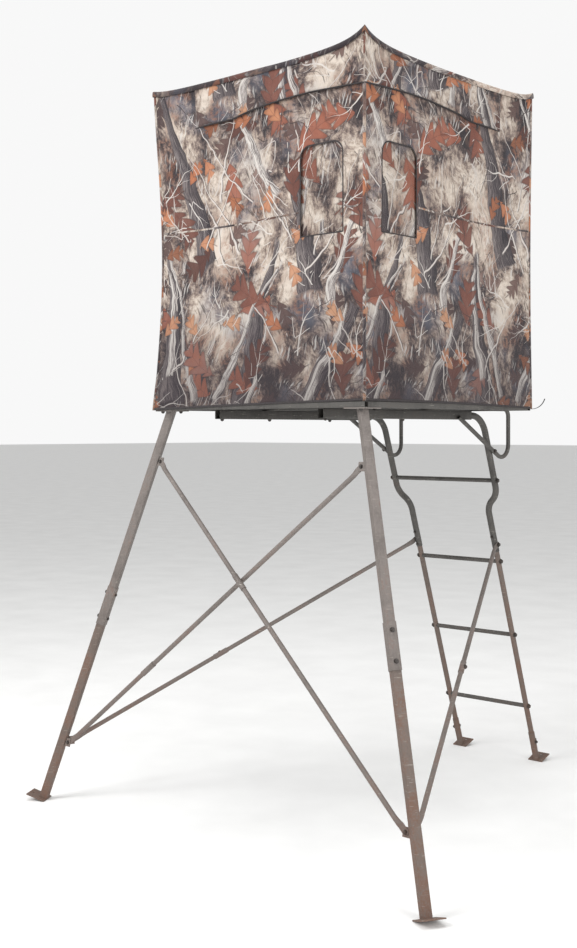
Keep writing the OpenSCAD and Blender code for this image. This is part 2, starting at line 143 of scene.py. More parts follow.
def paint(red, green, blue):
    """A colour from its everyday 0 to 255 numbers."""
    def linear(c):
        return c / 12.92 if c <= 0.04045 else ((c + 0.055) / 1.055) ** 2.4
    return (*(linear(c / 255) for c in (red, green, blue)), 1.0)


def material(name):
    made = bpy.data.materials.new(name)
    made.use_nodes = True
    made.node_tree.nodes.clear()
    return made, Wire(made.node_tree)


def finish(wire, colour, rough, height=None, depth=0.0005, strength=0.6, metal=0.0, fixed=None, alpha=None):
    """Joins colour, roughness and relief to the surface of a material."""
    sockets = {"Base Color": colour, "Roughness": rough, "Metallic": metal}
    if height is not None:
        sockets["Normal"] = wire.node("Bump", None, {"Height": height, "Distance": depth, "Strength": strength})
    if alpha is not None:
        sockets["Alpha"] = alpha
    skin = wire.node("BsdfPrincipled", None, {**sockets, **(fixed or {})})
    wire.node("OutputMaterial", None, {"Surface": skin})


def mesh_piece(name, points, faces, finish_material, slot, nodes=(), smooth=True):
    """A piece from its points and faces, which rides on the tower and may stand for CAD nodes."""
    mesh = bpy.data.meshes.new(name)
    mesh.from_pydata([tuple(p) for p in points], [], [tuple(f) for f in faces])
    mesh.validate()
    mesh.materials.append(finish_material)
    piece = bpy.data.objects.new(name, mesh)
    bpy.context.scene.collection.objects.link(piece)
    if smooth:
        mesh.shade_smooth()
    if slot:
        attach(piece, "root")
    if nodes:
        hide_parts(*nodes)
    return piece


floor_finish, wire = material("floor")
speckle = wire.node("TexNoise", None, {"Vector": wire.node("TexCoord", None, None, 3), "Scale": 2.0, "Detail": 4.0})
finish(wire, wire.node("ValToRGB", {"stops": [(0.3, paint(243, 243, 242)), (0.7, paint(250, 250, 249))]}, {0: speckle}),
       0.9, fixed={"Specular IOR Level": 0.1})
reach_out = 150.0
floor = mesh_piece("floor", [(-reach_out, -reach_out, 0), (reach_out, -reach_out, 0), (reach_out, reach_out, 0),
                             (-reach_out, reach_out, 0)], [(0, 1, 2, 3)], floor_finish, None)

# ---- Legs ----
# Each leg is two lengths of square steel tube with rounded corners, painted a taupe
# that has worn and gone brown towards the ground. A bolted sleeve joins the halves.
low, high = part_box("frame_front")
half, front, platform = high[0], low[1], low[2]
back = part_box("frame_back")[1][1]
middle = (front + back) / 2
frame_top, deck_top = high[2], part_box("deck")[1][2]
stance, reach = 2.700, 2.644
leg_width, leg_wall, gusset = 0.046, 0.0025, 0.006
leg_head = Vector((half - 0.062, front + 0.062, platform - gusset))
leg_spread = Vector((stance / 2 - leg_head.x, -reach / 2 - leg_head.y))
leg_foot = Vector((stance / 2, -reach / 2,
                   leg_width / 2 * math.sin(math.atan(leg_spread.length / leg_head.z))))


def steel(name, face, shade, brown, rust=0.35, low_brown=1.0, gloss=0.5):
    """Painted steel: blotches, dust, scratches to bare metal and rust that gathers low down."""
    made, wire = material(name)
    place = wire.node("TexCoord", None, None, 3)
    height = wire.node("SeparateXYZ", None, {0: place}, 2)
    blotch = wire.node("TexNoise", None, {"Vector": place, "Scale": 7.0, "Detail": 6.0, "Roughness": 0.62})
    fine = wire.node("TexNoise", None, {"Vector": place, "Scale": 95.0, "Detail": 5.0, "Roughness": 0.7})
    grain = wire.node("TexNoise", None, {"Vector": place, "Scale": 900.0, "Detail": 2.0})
    drawn = wire.vector("MULTIPLY", place, (60.0, 60.0, 3.0))
    streak = wire.node("TexNoise", None, {"Vector": drawn, "Scale": 2.2, "Detail": 4.0, "Roughness": 0.6})
    tone = blotch * 0.55 + fine * 0.25 + streak * 0.2
    colour = wire.node("ValToRGB", {"stops": [(0.34, shade), (0.52, face), (0.68, tuple(min(1, c * 1.22) for c in face))]},
                       {0: tone})
    lowness = (1.0 - height * (1 / 2.3)).clamp()
    worn = ((fine * 0.6 + blotch * 0.6 + lowness * 0.16 * low_brown - 0.68) * 7.0).clamp()
    colour = colour.tint(brown, (lowness * 0.45 * low_brown + blotch * 0.2).clamp())
    colour = colour.tint(paint(112, 68, 46), worn * rust)
    scuff = wire.node("TexNoise", None, {"Vector": wire.vector("MULTIPLY", place, (14.0, 14.0, 160.0)), "Scale": 1.5,
                                         "Detail": 3.0})
    bare = ((scuff - 0.655) * 22.0).clamp()
    colour = colour.tint(paint(178, 172, 164), bare * 0.5)
    rough = (gloss + worn * 0.25 + fine * 0.18 - bare * 0.1).clamp()
    finish(wire, colour, rough, fine * 0.5 + grain * 0.3 + worn * 0.35, 0.0006, 0.5, metal=bare * 0.6)
    return made


leg_paint = steel("leg_paint", paint(124, 117, 113), paint(88, 81, 77), paint(100, 90, 83))
low_paint = steel("low_paint", paint(112, 102, 96), paint(78, 69, 64), paint(102, 84, 73), 0.42)
dark_paint = steel("dark_paint", paint(82, 80, 77), paint(54, 52, 50), paint(78, 72, 66), 0.18, 0.6)


def square_outline(width, depth, radius, steps=4):
    """The outline of a square tube, from corner to rounded corner."""
    points = []
    for quarter in range(4):
        turn = quarter * math.pi / 2
        corner = Vector((math.copysign(width / 2 - radius, math.cos(turn + 0.7)),
                         math.copysign(depth / 2 - radius, math.sin(turn + 0.7))))
        for i in range(steps + 1):
            a = turn + i * math.pi / 2 / steps
            points.append((corner.x + radius * math.cos(a), corner.y + radius * math.sin(a)))
    return points


def round_outline(diameter, steps=28):
    return [(diameter / 2 * math.cos(2 * math.pi * i / steps), diameter / 2 * math.sin(2 * math.pi * i / steps))
            for i in range(steps)]


def tube_mesh(places, outer, inner):
    """Points and faces of a hollow bar. places are matrices along it; outer and inner are
    the outlines in each, one for all or one for each place."""
    outers = outer if isinstance(outer[0], list) else [outer] * len(places)
    inners = inner if isinstance(inner[0], list) else [inner] * len(places)
    points, faces, n, rows = [], [], len(outers[0]), len(places)
    for ring in (outers, inners):
        for place, outline in zip(places, ring):
            points += [place @ Vector((x, y, 0)) for x, y in outline]
    for wall, flip in ((0, False), (rows * n, True)):
        for r in range(rows - 1):
            for i in range(n):
                a, b = wall + r * n + i, wall + r * n + (i + 1) % n
                faces.append((a, a + n, b + n, b) if flip else (a, b, b + n, a + n))
    last = (rows - 1) * n
    for i in range(n):
        j = (i + 1) % n
        faces.append((i, i + rows * n, j + rows * n, j))
        faces.append((last + i, last + j, last + j + rows * n, last + i + rows * n))
    return points, faces


def joined(parts):
    """Several points-and-faces pairs as one."""
    points, faces = [], []
    for more, over in parts:
        start = len(points)
        points += list(more)
        faces += [tuple(i + start for i in f) for f in over]
    return points, faces


def facing(start, end, side):
    """A matrix at start whose Z points to end and whose X lies towards side."""
    z = (end - start).normalized()
    x = (side - z * side.dot(z)).normalized()
    y = z.cross(x)
    return Matrix((x, y, z)).transposed().to_4x4()


def straight(start, end, side, outer, inner):
    turn = facing(start, end, side)
    return tube_mesh([Matrix.Translation(start) @ turn, Matrix.Translation(end) @ turn], outer, inner)


def square_tube(start, end, side, width, depth, wall, radius=0.005):
    return straight(start, end, side, square_outline(width, depth, radius),
                    square_outline(width - 2 * wall, depth - 2 * wall, max(radius - wall, 0.001)))


def soft_edges(piece, angle=35):
    """Smooth faces with crisp ends."""
    piece.data.shade_smooth()
    mesh = piece.data
    loose = bmesh.new()
    loose.from_mesh(mesh)
    for edge in loose.edges:
        edge.smooth = len(edge.link_faces) != 2 or edge.calc_face_angle(0) < math.radians(angle)
    loose.to_mesh(mesh)
    loose.free()
    return piece


def on_leg(side, height):
    share = (height - leg_foot.z) / (leg_head.z - leg_foot.z)
    point = leg_foot.lerp(leg_head, share)
    return Vector((side * point.x, point.y, point.z))


joint_height, sleeve_length, foot_thick = 1.123, 0.225, 0.006
bolts = []
for side, word in ((-1, "left"), (1, "right")):
    outward = Vector((side * leg_spread.x, leg_spread.y, 0)).normalized()
    along = (on_leg(side, 2.0) - on_leg(side, 1.0)).normalized()
    start = on_leg(side, leg_foot.z) + along * foot_thick
    joint = on_leg(side, joint_height)
    piece = mesh_piece("leg_lower_tube_" + word, *square_tube(start, joint - along * 0.0003, outward, leg_width, leg_width,
                                                              leg_wall), low_paint, "rusty_steel", ["leg_lower_" + word])
    soft_edges(piece)
    points, faces = square_tube(joint, on_leg(side, leg_head.z), outward, leg_width, leg_width, leg_wall)
    ring = len(points) // 4
    for row in (1, 3):
        for i in range(row * ring, (row + 1) * ring):
            points[i] = points[i] + along * ((leg_head.z - points[i].z) / along.z)
    soft_edges(mesh_piece("leg_upper_tube_" + word, points, faces, leg_paint, "steel", ["leg_upper_" + word]))
    face_out = facing(start, joint, outward).col[0].to_3d()
    for shift in (-0.072, 0.072):
        bolts.append((joint + along * shift + face_out * (leg_width / 2 + 0.0032), face_out, 1.0))
        bolts.append((joint + along * shift - face_out * (leg_width / 2 + 0.0032), -face_out, 0.8))
sleeves = joined([square_tube(on_leg(s, joint_height) - (on_leg(s, 2) - on_leg(s, 1)).normalized() * sleeve_length / 2,
                              on_leg(s, joint_height) + (on_leg(s, 2) - on_leg(s, 1)).normalized() * sleeve_length / 2,
                              Vector((s * leg_spread.x, leg_spread.y, 0)), leg_width + 0.0065, leg_width + 0.0065, 0.003,
                              0.0075) for s in (-1, 1)])
soft_edges(mesh_piece("leg_joint_sleeves", *sleeves, leg_paint, "steel", ["leg_sleeves"]))


def dress(slot_finish, *nodes):
    """Gives CAD nodes whose shape is right their finish."""
    for node in nodes:
        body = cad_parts[node]
        body.data.materials.clear()
        body.data.materials.append(slot_finish)


dress(leg_paint, "leg_brackets", "corner_gussets")
dress(low_paint, "foot_plate_left", "foot_plate_right", "rail_foot_left", "rail_foot_right")

# ---- Braces ----
# Two long crossed braces stiffen the legs and two run back to the ladder. Each is a
# round steel tube with both ends pressed flat, drilled and bolted to an ear.
brace, brace_wall, ear_gap = 0.025, 0.0015, 0.0045
plane_lean = math.atan((leg_head.y + reach / 2) / (leg_head.z - leg_foot.z))


def on_plane(x, off, up):
    """A point in the leaning plane of both legs, off its face."""
    c, s = math.cos(plane_lean), math.sin(plane_lean)
    return Vector((x, -reach / 2 + off * c + up * s, leg_foot.z - off * s + up * c))


def pressed_tube(stations):
    """A tube whose section changes from round to flat: (centre, wide way, thin way, flatness)."""
    places, outer, inner = [], [], []
    for centre, wide, thin, flat, narrow in stations:
        ahead = wide.cross(thin)
        places.append(Matrix.Translation(centre) @ Matrix((wide, thin, ahead)).transposed().to_4x4())
        b = (brace / 2) * (1 + 0.36 * flat) * narrow
        a = brace / 2 * (1 - flat) + 0.0022 * flat
        power = 1 - 0.55 * flat
        for outlines, less in ((outer, 0.0), (inner, brace_wall)):
            less_here = less if flat < 0.5 else less * 0.7
            outlines.append([((b - less_here) * math.copysign(abs(math.cos(t)) ** power, math.cos(t)),
                              (a - less_here) * math.copysign(abs(math.sin(t)) ** power, math.sin(t)))
                             for t in (2 * math.pi * (i + 0.5) / 24 for i in range(24))])
    return tube_mesh(places, outer, inner)


def brace_stations(path, thins, flats, narrows):
    made = []
    for i, centre in enumerate(path):
        ahead = (path[min(i + 1, len(path) - 1)] - path[max(i - 1, 0)]).normalized()
        thin = (thins[i] - ahead * thins[i].dot(ahead)).normalized()
        made.append((centre, thin.cross(ahead), thin, flats[i], narrows[i]))
    return made


end_cut = [(-0.014, 0.45), (-0.0125, 0.72), (-0.009, 0.9), (-0.002, 1.0)]
upper_ear = Vector((on_leg(1, 1.940).x, (1.940 - leg_foot.z) / math.cos(plane_lean)))
lower_ear = Vector((on_leg(1, 0.340).x, (0.340 - leg_foot.z) / math.cos(plane_lean)))
normal = on_plane(0, 1, 0) - on_plane(0, 0, 0)
for side, node in ((1, "cross_brace_front"), (-1, "cross_brace_rear")):
    top = (-side * (upper_ear.x - 0.052), upper_ear.y)
    foot = (side * (lower_ear.x - 0.052), lower_ear.y)
    low_end, top_end = on_plane(foot[0], 0, foot[1]), on_plane(top[0], 0, top[1])
    ahead, length = (top_end - low_end).normalized(), (top_end - low_end).length
    tab, body = -side * ear_gap, -side * (brace / 2 + 0.001)
    stops = [(z, tab, 1.0, n) for z, n in end_cut] + [(0.036, tab, 1.0, 1.0), (0.050, tab * 0.5 + body * 0.5, 0.62, 1.0),
                                                    (0.066, body * 0.86 + tab * 0.14, 0.25, 1.0), (0.085, body, 0.0, 1.0)]
    stops += [(length - z, off, flat, n) for z, off, flat, n in reversed(stops)]
    path = [low_end + ahead * z + normal * off for z, off, flat, n in stops]
    shape = pressed_tube(brace_stations(path, [normal] * len(path), [s[2] for s in stops], [s[3] for s in stops]))
    soft_edges(mesh_piece("tube_" + node, *shape, leg_paint, "steel", [node]), 50)
    for z in (0.0, length):
        bolts.append((low_end + ahead * z + normal * (tab - side * 0.0022), normal * -side, 0.9))
        bolts.append((low_end + ahead * z + normal * side * 0.0026, normal * side, 0.9))
    splice = length * (0.30 if side < 0 else 0.62)
    for shift, aim in ((-0.03, 1), (0.03, 1)):
        bolts.append((low_end + ahead * (splice + shift) + normal * (body + aim * brace / 2), normal * aim, 0.7))
    turn_side = normal
    at = low_end + ahead * splice + normal * body
    ring = straight(at - ahead * 0.05, at + ahead * 0.05, normal, round_outline(brace + 0.006), round_outline(brace + 0.0004))
    soft_edges(mesh_piece("splice_" + node, *ring, leg_paint, "steel"), 50)

ladder_run = reach / 2 - back - 0.075
beam_mid = platform - 0.025
rail, rail_wall = 0.038, 0.002
rail_foot_z = rail / 2 * math.sin(math.atan(ladder_run / beam_mid))
lean = math.atan(ladder_run / (beam_mid - rail_foot_z))
rail_x, rail_x_top = 0.291, 0.373
long_start = on_leg(1, 0.340)
rail_y = reach / 2 - (1.416 - rail_foot_z) * math.tan(lean)
long_end = Vector((rail_x + rail / 2 + 0.0023, rail_y, 1.416))
bearing = math.atan2(long_end.y - long_start.y, long_end.x - long_start.x)
ear_way, ear_side = Vector((math.cos(bearing), math.sin(bearing), 0)), Vector((-math.sin(bearing), math.cos(bearing), 0))
long_foot = long_start + ear_way * 0.052 + ear_side * 0.0048
tab_way = Vector((0, rail_y - long_start.y, 1.416 - long_start.z)).normalized()
knee = long_end - tab_way * 0.040
for side, word, splice_at in ((-1, "left", 0.41), (1, "right", 0.5)):
    ahead, length = (knee - long_foot).normalized(), (knee - long_foot).length
    path = [long_foot + ahead * z for z, n in end_cut] + [long_foot + ahead * z for z in (0.036, 0.052, 0.070, 0.090)]
    flats = [1.0] * 5 + [0.6, 0.22, 0.0, 0.0, 0.25, 0.7, 1.0, 1.0, 1.0, 1.0, 1.0]
    narrows = [n for z, n in end_cut] + [1.0] * 8 + [n for z, n in reversed(end_cut)]
    path += [knee - ahead * z for z in (0.055, 0.035, 0.015)] + [knee + tab_way * 0.006]
    path += [long_end - tab_way * z for z, n in reversed(end_cut)]
    thins = [ear_side * -1] * 8 + [Vector((1, 0, 0))] * 8
    stations = brace_stations(path, thins, flats, narrows)
    flip = Matrix.Diagonal((side, 1, 1, 1))
    points, faces = pressed_tube(stations)
    points = [flip @ p for p in points]
    faces = faces if side > 0 else [tuple(reversed(f)) for f in faces]
    soft_edges(mesh_piece("tube_long_brace_" + word, points, faces, leg_paint, "steel", ["long_brace_" + word]), 50)
    at = long_foot + ahead * length * splice_at
    across = Vector((1, 0, 0)) - ahead * ahead.x
    across.normalize()
    ring = straight(at - ahead * 0.045, at + ahead * 0.045, across, round_outline(brace + 0.006), round_outline(brace + 0.0004))
    ring = ([flip @ p for p in ring[0]], ring[1] if side > 0 else [tuple(reversed(f)) for f in ring[1]])
    soft_edges(mesh_piece("splice_long_brace_" + word, *ring, leg_paint, "steel"), 50)
    for spot, way, size in ((long_foot + ear_side * 0.0022, ear_side, 1.1), (long_foot - ear_side * 0.0072, -ear_side, 0.9),
                            (long_end + Vector((0.0022, 0, 0)), Vector((1, 0, 0)), 1.1),
                            (at + across * (brace / 2 + 0.003), across, 1.0)):
        bolts.append((flip @ spot, (flip @ way), size))

# ---- Ladder ----
# Round rails lean against the platform. The upper rails swell outwards below the deck
# and bend in to the beams. Thin round rungs go through the rails and are bolted.


def on_ladder(x, off, up):
    c, s = math.cos(lean), math.sin(lean)
    return Vector((x, reach / 2 + off * c - up * s, rail_foot_z + off * s + up * c))


def up_rail(height):
    return (height - rail_foot_z) / math.cos(lean)


def bent(start, steps, pieces=14):
    """Places along a bent tube: (straight length, bend radius, angle, way of the bend)."""
    places, here = [start.copy()], start.copy()
    for run, radius, angle, way in steps:
        here = here @ Matrix.Translation((0, 0, run))
        places.append(here.copy())
        for i in range(1, pieces + 1 if angle else 1):
            a, roll = angle * i / pieces, Matrix.Rotation(way, 4, "Z")
            arc = Matrix.Translation((radius * (1 - math.cos(a)), 0, radius * math.sin(a))) @ Matrix.Rotation(a, 4, "Y")
            places.append(here @ roll @ arc @ roll.inverted())
        if angle:
            here = places[-1].copy()
    return places


joggle_run, bend_radius = 0.180, 0.150
joggle_angle = 2 * math.atan((rail_x_top - rail_x) / joggle_run)
joggle_radius = joggle_run / 2 / math.sin(joggle_angle)
rail_bend = math.pi / 2 - lean
rail_tangent = bend_radius * math.tan(rail_bend / 2)
rail_steps = [(up_rail(1.607) - up_rail(1.374), joggle_radius, joggle_angle, 0),
              (0.0005, joggle_radius, joggle_angle, math.pi),
              (up_rail(beam_mid) - rail_tangent - up_rail(1.607) - joggle_run - 0.0005, bend_radius, rail_bend, -math.pi / 2),
              (back + 0.075 - rail_tangent - (back - 0.060), 0, 0, 0)]
hoop, hoop_x = 0.025, rail_x_top + (0.038 + 0.025) / 2 + 0.0003
hoop_steps = [(0.311 - 0.045 - 0.0003, 0.045, math.pi / 2, math.pi / 2), (0.167, 0.075, math.radians(119), math.pi / 2),
              (0.470, 0, 0, 0)]
for side, word in ((-1, "left"), (1, "right")):
    flip = Matrix.Diagonal((side, 1, 1, 1))
    lay = Matrix.Translation(on_ladder(rail_x, 0, up_rail(1.374))) @ Matrix.Rotation(lean, 4, "X")
    points, faces = tube_mesh(bent(lay, rail_steps), round_outline(rail), round_outline(rail - 2 * rail_wall))
    points = [flip @ p for p in points]
    faces = faces if side > 0 else [tuple(reversed(f)) for f in faces]
    soft_edges(mesh_piece("upper_rail_" + word, points, faces, dark_paint, "dark_steel", ["rail_upper_" + word]), 50)
    lay = Matrix.Translation((side * hoop_x, back + 0.0003, platform + 0.015)) @ Matrix.Rotation(-math.pi / 2, 4, "X")
    points, faces = tube_mesh(bent(lay, hoop_steps), round_outline(hoop), round_outline(hoop - 2 * rail_wall))
    soft_edges(mesh_piece("hoop_" + word, points, faces, dark_paint, "dark_steel", ["hand_hoop_" + word]), 50)
    for height in (0.370, 0.840, 1.310, 1.814):
        x = (rail_x_top if height > 1.7 else rail_x) + (rail / 2 if height > 1.35 else 0.0167)
        bolts.append((on_ladder(side * x, 0, up_rail(height)), Vector((side, 0, 0)), 1.25))
    for height in (1.392, 1.470):
        bolts.append((on_ladder(side * rail_x, -rail / 2, up_rail(height)), on_ladder(0, -1, 0) - on_ladder(0, 0, 0), 0.8))
    bolts.append((Vector((side * (hoop_x + hoop / 2), 0.646, 1.992)), Vector((side, 0, 0)), 1.0))
    bolts.append((on_ladder(side * rail_x, 0.0235, up_rail(0.13)), on_ladder(0, 1, 0) - on_ladder(0, 0, 0), 0.9))
    bolts.append((on_ladder(side * (rail_x + 0.0225), 0, up_rail(0.13)), Vector((side, 0, 0)), 0.9))
dress(low_paint, "rail_lower_left", "rail_lower_right")
dress(dark_paint, "rungs")

# ---- Platform ----
# A square tube frame with two cross members stands on two deeper beams. Its floor is
# expanded steel: strands slit from one plate and drawn open into diamonds.
deck_paint = steel("deck_paint", paint(74, 73, 72), paint(44, 44, 44), paint(70, 62, 55), 0.3, 0.0)
frame_width, frame_wall = 0.030, 0.002
level = platform + frame_width / 2
up = Vector((0, 0, 1))
for node, bars, width, depth in (
        ("frame_front", [((-half, front + 0.015), (half, front + 0.015))], frame_width, frame_width),
        ("frame_back", [((-half, back - 0.015), (half, back - 0.015))], frame_width, frame_width),
        ("frame_sides", [((s * (half - 0.015), front + 0.030), (s * (half - 0.015), back - 0.030)) for s in (-1, 1)],
         frame_width, frame_width),
        ("cross_members", [((-half + 0.030, middle + s * 0.250), (half - 0.030, middle + s * 0.250)) for s in (-1, 1)],
         frame_width, frame_width),
        ("main_beams", [((s * rail_x_top, front + 0.114), (s * rail_x_top, back - 0.060)) for s in (-1, 1)], 0.050, 0.038)):
    height = beam_mid if node == "main_beams" else level
    tubes = [square_tube(Vector((*a, height)), Vector((*b, height)), up, width, depth, frame_wall, 0.004) for a, b in bars]
    soft_edges(mesh_piece("tubes_" + node, *joined(tubes), dark_paint, "dark_steel", [node]))
for x, ys in ((-rail_x_top, (front + 0.150, -0.470, 0.060, 0.360)), (rail_x_top, (front + 0.150, -0.200, 0.380))):
    for y in ys:
        bolts.append((Vector((x, y, platform - 0.050)), Vector((0, 0, -1)), 1.0))
for side in (-1, 1):
    for x, y in ((0.712, 0.020), (0.640, 0.090)):
        bolts.append((Vector((side * x, front + y, platform - gusset)), Vector((0, 0, -1)), 1.0))
        bolts.append((Vector((side * 0.735, front + 0.100, platform - gusset)), Vector((0, 0, -1)), 0.8))


def grown(name, points, tree, settings, finish_material, nodes=()):
    """Runs a Geometry Nodes tree on a set of points and keeps the result as a plain mesh."""
    mesh = bpy.data.meshes.new(name)
    mesh.from_pydata([tuple(p) for p, way, size in points], [], [])
    for label, kind, key in (("way", "FLOAT_VECTOR", 1), ("size", "FLOAT", 2)):
        layer = mesh.attributes.new(label, kind, "POINT")
        layer.data.foreach_set("vector" if kind == "FLOAT_VECTOR" else "value",
                               np.array([p[key] for p in points], float).ravel())
    seed = bpy.data.objects.new(name + "_points", mesh)
    bpy.context.scene.collection.objects.link(seed)
    modifier = seed.modifiers.new("grow", "NODES")
    modifier.node_group = tree
    for item in tree.interface.items_tree:
        if item.in_out == "INPUT" and item.name in settings:
            modifier[item.identifier] = settings[item.name]
    bpy.context.view_layer.update()
    graph = bpy.context.evaluated_depsgraph_get()
    result = bpy.data.meshes.new_from_object(seed.evaluated_get(graph), depsgraph=graph)
    result.name = name
    for label in ("way", "size"):
        if label in result.attributes:
            result.attributes.remove(result.attributes[label])
    piece = bpy.data.objects.new(name, result)
    bpy.context.scene.collection.objects.link(piece)
    bpy.data.objects.remove(seed)
    result.materials.clear()
    result.materials.append(finish_material)
    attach(piece, "root")
    if nodes:
        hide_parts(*nodes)
    return piece


class Growth:
    """A Geometry Nodes tree with named inputs, built node by node."""

    def __init__(self, name, inputs):
        self.tree = bpy.data.node_groups.new(name, "GeometryNodeTree")
        self.tree.is_modifier = True
        self.tree.interface.new_socket("Geometry", in_out="INPUT", socket_type="NodeSocketGeometry")
        for label, kind, value in inputs:
            made = self.tree.interface.new_socket(label, in_out="INPUT", socket_type="NodeSocket" + kind)
            if value is not None:
                made.default_value = value
        self.tree.interface.new_socket("Geometry", in_out="OUTPUT", socket_type="NodeSocketGeometry")
        self.start = self.tree.nodes.new("NodeGroupInput")

    def add(self, kind, settings=None, sockets=None):
        made = self.tree.nodes.new(kind)
        for key, value in (settings or {}).items():
            setattr(made, key, value)
        for key, value in (sockets or {}).items():
            if isinstance(value, bpy.types.NodeSocket):
                self.tree.links.new(value, made.inputs[key])
            else:
                made.inputs[key].default_value = value
        return made

    def close(self, geometry, finish_material):
        real = self.add("GeometryNodeRealizeInstances", None, {"Geometry": geometry})
        worn = self.add("GeometryNodeSetMaterial", None, {"Geometry": real.outputs[0], "Material": finish_material})
        self.add("NodeGroupOutput", None, {"Geometry": worn.outputs[0]})
        return self.tree


strand_inputs = [("Strand length", "Float", 1.4), ("Diamond length", "Float", 0.062), ("Diamond height", "Float", 0.024),
                 ("Strand width", "Float", 0.0042), ("Strand thick", "Float", 0.0028)]
growth = Growth("expanded_strands", strand_inputs)
given = growth.start.outputs
count = growth.add("ShaderNodeMath", {"operation": "DIVIDE"}, {0: given["Strand length"], 1: given["Diamond length"]})
knots = growth.add("ShaderNodeMath", {"operation": "MULTIPLY_ADD"}, {0: count.outputs[0], 1: 4.0, 2: 1.0})
end_point = growth.add("ShaderNodeCombineXYZ", None, {0: given["Strand length"]})
line = growth.add("GeometryNodeCurvePrimitiveLine", None, {"End": end_point.outputs[0]})
beads = growth.add("GeometryNodeResampleCurve", None, {"Curve": line.outputs[0], "Count": knots.outputs[0]})
index = growth.add("GeometryNodeInputIndex")
beat = growth.add("ShaderNodeMath", {"operation": "MODULO"}, {0: index.outputs[0], 1: 4.0})
swing = growth.add("ShaderNodeMath", {"operation": "COMPARE"}, {0: beat.outputs[0], 1: 2.5, 2: 0.6})
raise_by = growth.add("ShaderNodeMath", {"operation": "MULTIPLY"}, {0: swing.outputs[0], 1: given["Diamond height"]})
lift = growth.add("ShaderNodeCombineXYZ", None, {1: raise_by.outputs[0]})
zigzag = growth.add("GeometryNodeSetPosition", None, {"Geometry": beads.outputs[0], "Offset": lift.outputs[0]})
bar = growth.add("GeometryNodeCurvePrimitiveQuadrilateral", None,
                 {"Width": given["Strand thick"], "Height": given["Strand width"]})
strand = growth.add("GeometryNodeCurveToMesh", None, {"Curve": zigzag.outputs[0], "Profile Curve": bar.outputs[0],
                                                      "Fill Caps": True})
along_row = growth.add("GeometryNodeInputNamedAttribute", {"data_type": "FLOAT_VECTOR"}, {"Name": "way"})
scale_row = growth.add("ShaderNodeCombineXYZ", None, {0: 1.0, 2: 1.0})
flip_row = growth.add("GeometryNodeInputNamedAttribute", {"data_type": "FLOAT"}, {"Name": "size"})
growth.tree.links.new(flip_row.outputs[0], scale_row.inputs[1])
rows = growth.add("GeometryNodeInstanceOnPoints", None, {"Points": given["Geometry"], "Instance": strand.outputs[0],
                                                         "Scale": scale_row.outputs[0]})
growth.close(rows.outputs[0], deck_paint)
edge = half - 0.024
diamond = 0.024
row_count = int((2 * edge - 0.01) / diamond)
strands = [(Vector((-edge, middle - edge + 0.004 + diamond * r + (diamond if r % 2 else 0.0), frame_top + 0.0015)),
            (1, 0, 0), -1.0 if r % 2 else 1.0) for r in range(row_count)]
deck = grown("deck_mesh", strands, growth.tree, {"Strand length": 2 * edge, "Diamond height": diamond - 0.003},
             deck_paint)
rim = joined([square_tube(Vector((a[0] * (edge - 0.006), middle + a[1] * (edge - 0.006), frame_top + 0.0015)),
                          Vector((b[0] * (edge - 0.006), middle + b[1] * (edge - 0.006), frame_top + 0.0015)), up, 0.003, 0.012,
                          0.001, 0.0008) for a, b in (((-1, -1), (1, -1)), ((1, -1), (1, 1)), ((1, 1), (-1, 1)), ((-1, 1), (-1, -1)))])
mesh_piece("deck_rim", *rim, deck_paint, "deck_steel", ["deck"])

# ---- Poles ----
# Four corner poles stand on the platform and bow in under the pull of the cloth. Eave
# poles join their tops, and two bowed poles carry the roof.
wall_foot, wall_head = 2.231, 3.981
pull = {"L": 0.032, "N": 0.003, "R": 0.007, "F": 0.022}
corner_places = {"L": (-1, -1), "N": (1, -1), "R": (1, 1), "F": (-1, 1)}


def bow(z):
    """How far up the bow of a corner a height lies, from 0 to 1."""
    t = min(max((z - wall_foot) / (wall_head - wall_foot), 0.0), 1.0)
    return math.sin(math.pi * t ** 0.92) ** 1.25


pole_in = half - 0.012
poles = []
pole_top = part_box("corner_poles")[1][2]
for corner, (sx, sy) in corner_places.items():
    places = []
    for i in range(25):
        z = frame_top + (pole_top - frame_top) * i / 24
        lean_in = pull[corner] * bow(z)
        places.append(Matrix.Translation((sx * (pole_in - lean_in), middle + sy * (pole_in - lean_in), z)))
    poles.append(tube_mesh(places, round_outline(0.020, 20), round_outline(0.017, 20)))
soft_edges(mesh_piece("bowed_corner_poles", *joined(poles), dark_paint, "dark_steel", ["corner_poles"]), 50)
dress(dark_paint, "eave_poles", "roof_poles")

# ---- Blind: the printed cloth ----
# Thin woven polyester with a woodland print: bark, crossing branches, bare twigs and
# lobed autumn leaves over a pale misty ground that darkens towards the hem.
random.seed(41)
print_width = 1.52
limbs = {}
for kind, many, thick, tall in (("dark", 5, 0.080, 0.9), ("pale", 7, 0.030, 0.75), ("stick", 15, 0.0085, 0.5)):
    limbs[kind] = []
    for i in range(many):
        u = 0.08 + (print_width - 0.16) * ((i + 0.5 * random.random()) / many)
        v = random.uniform(-0.15, 1.25) if kind != "dark" else random.uniform(-0.25, 0.95)
        slant = random.choice((-1, 1)) * random.uniform(0.35, 1.15 if kind != "stick" else 1.6)
        rise = tall * random.uniform(0.7, 1.25)
        u_top = min(max(u + slant * rise * 0.6, 0.05), print_width - 0.05)
        limbs[kind].append((u, v, u_top, v + rise, thick * random.uniform(0.7, 1.25), thick * random.uniform(0.15, 0.4)))


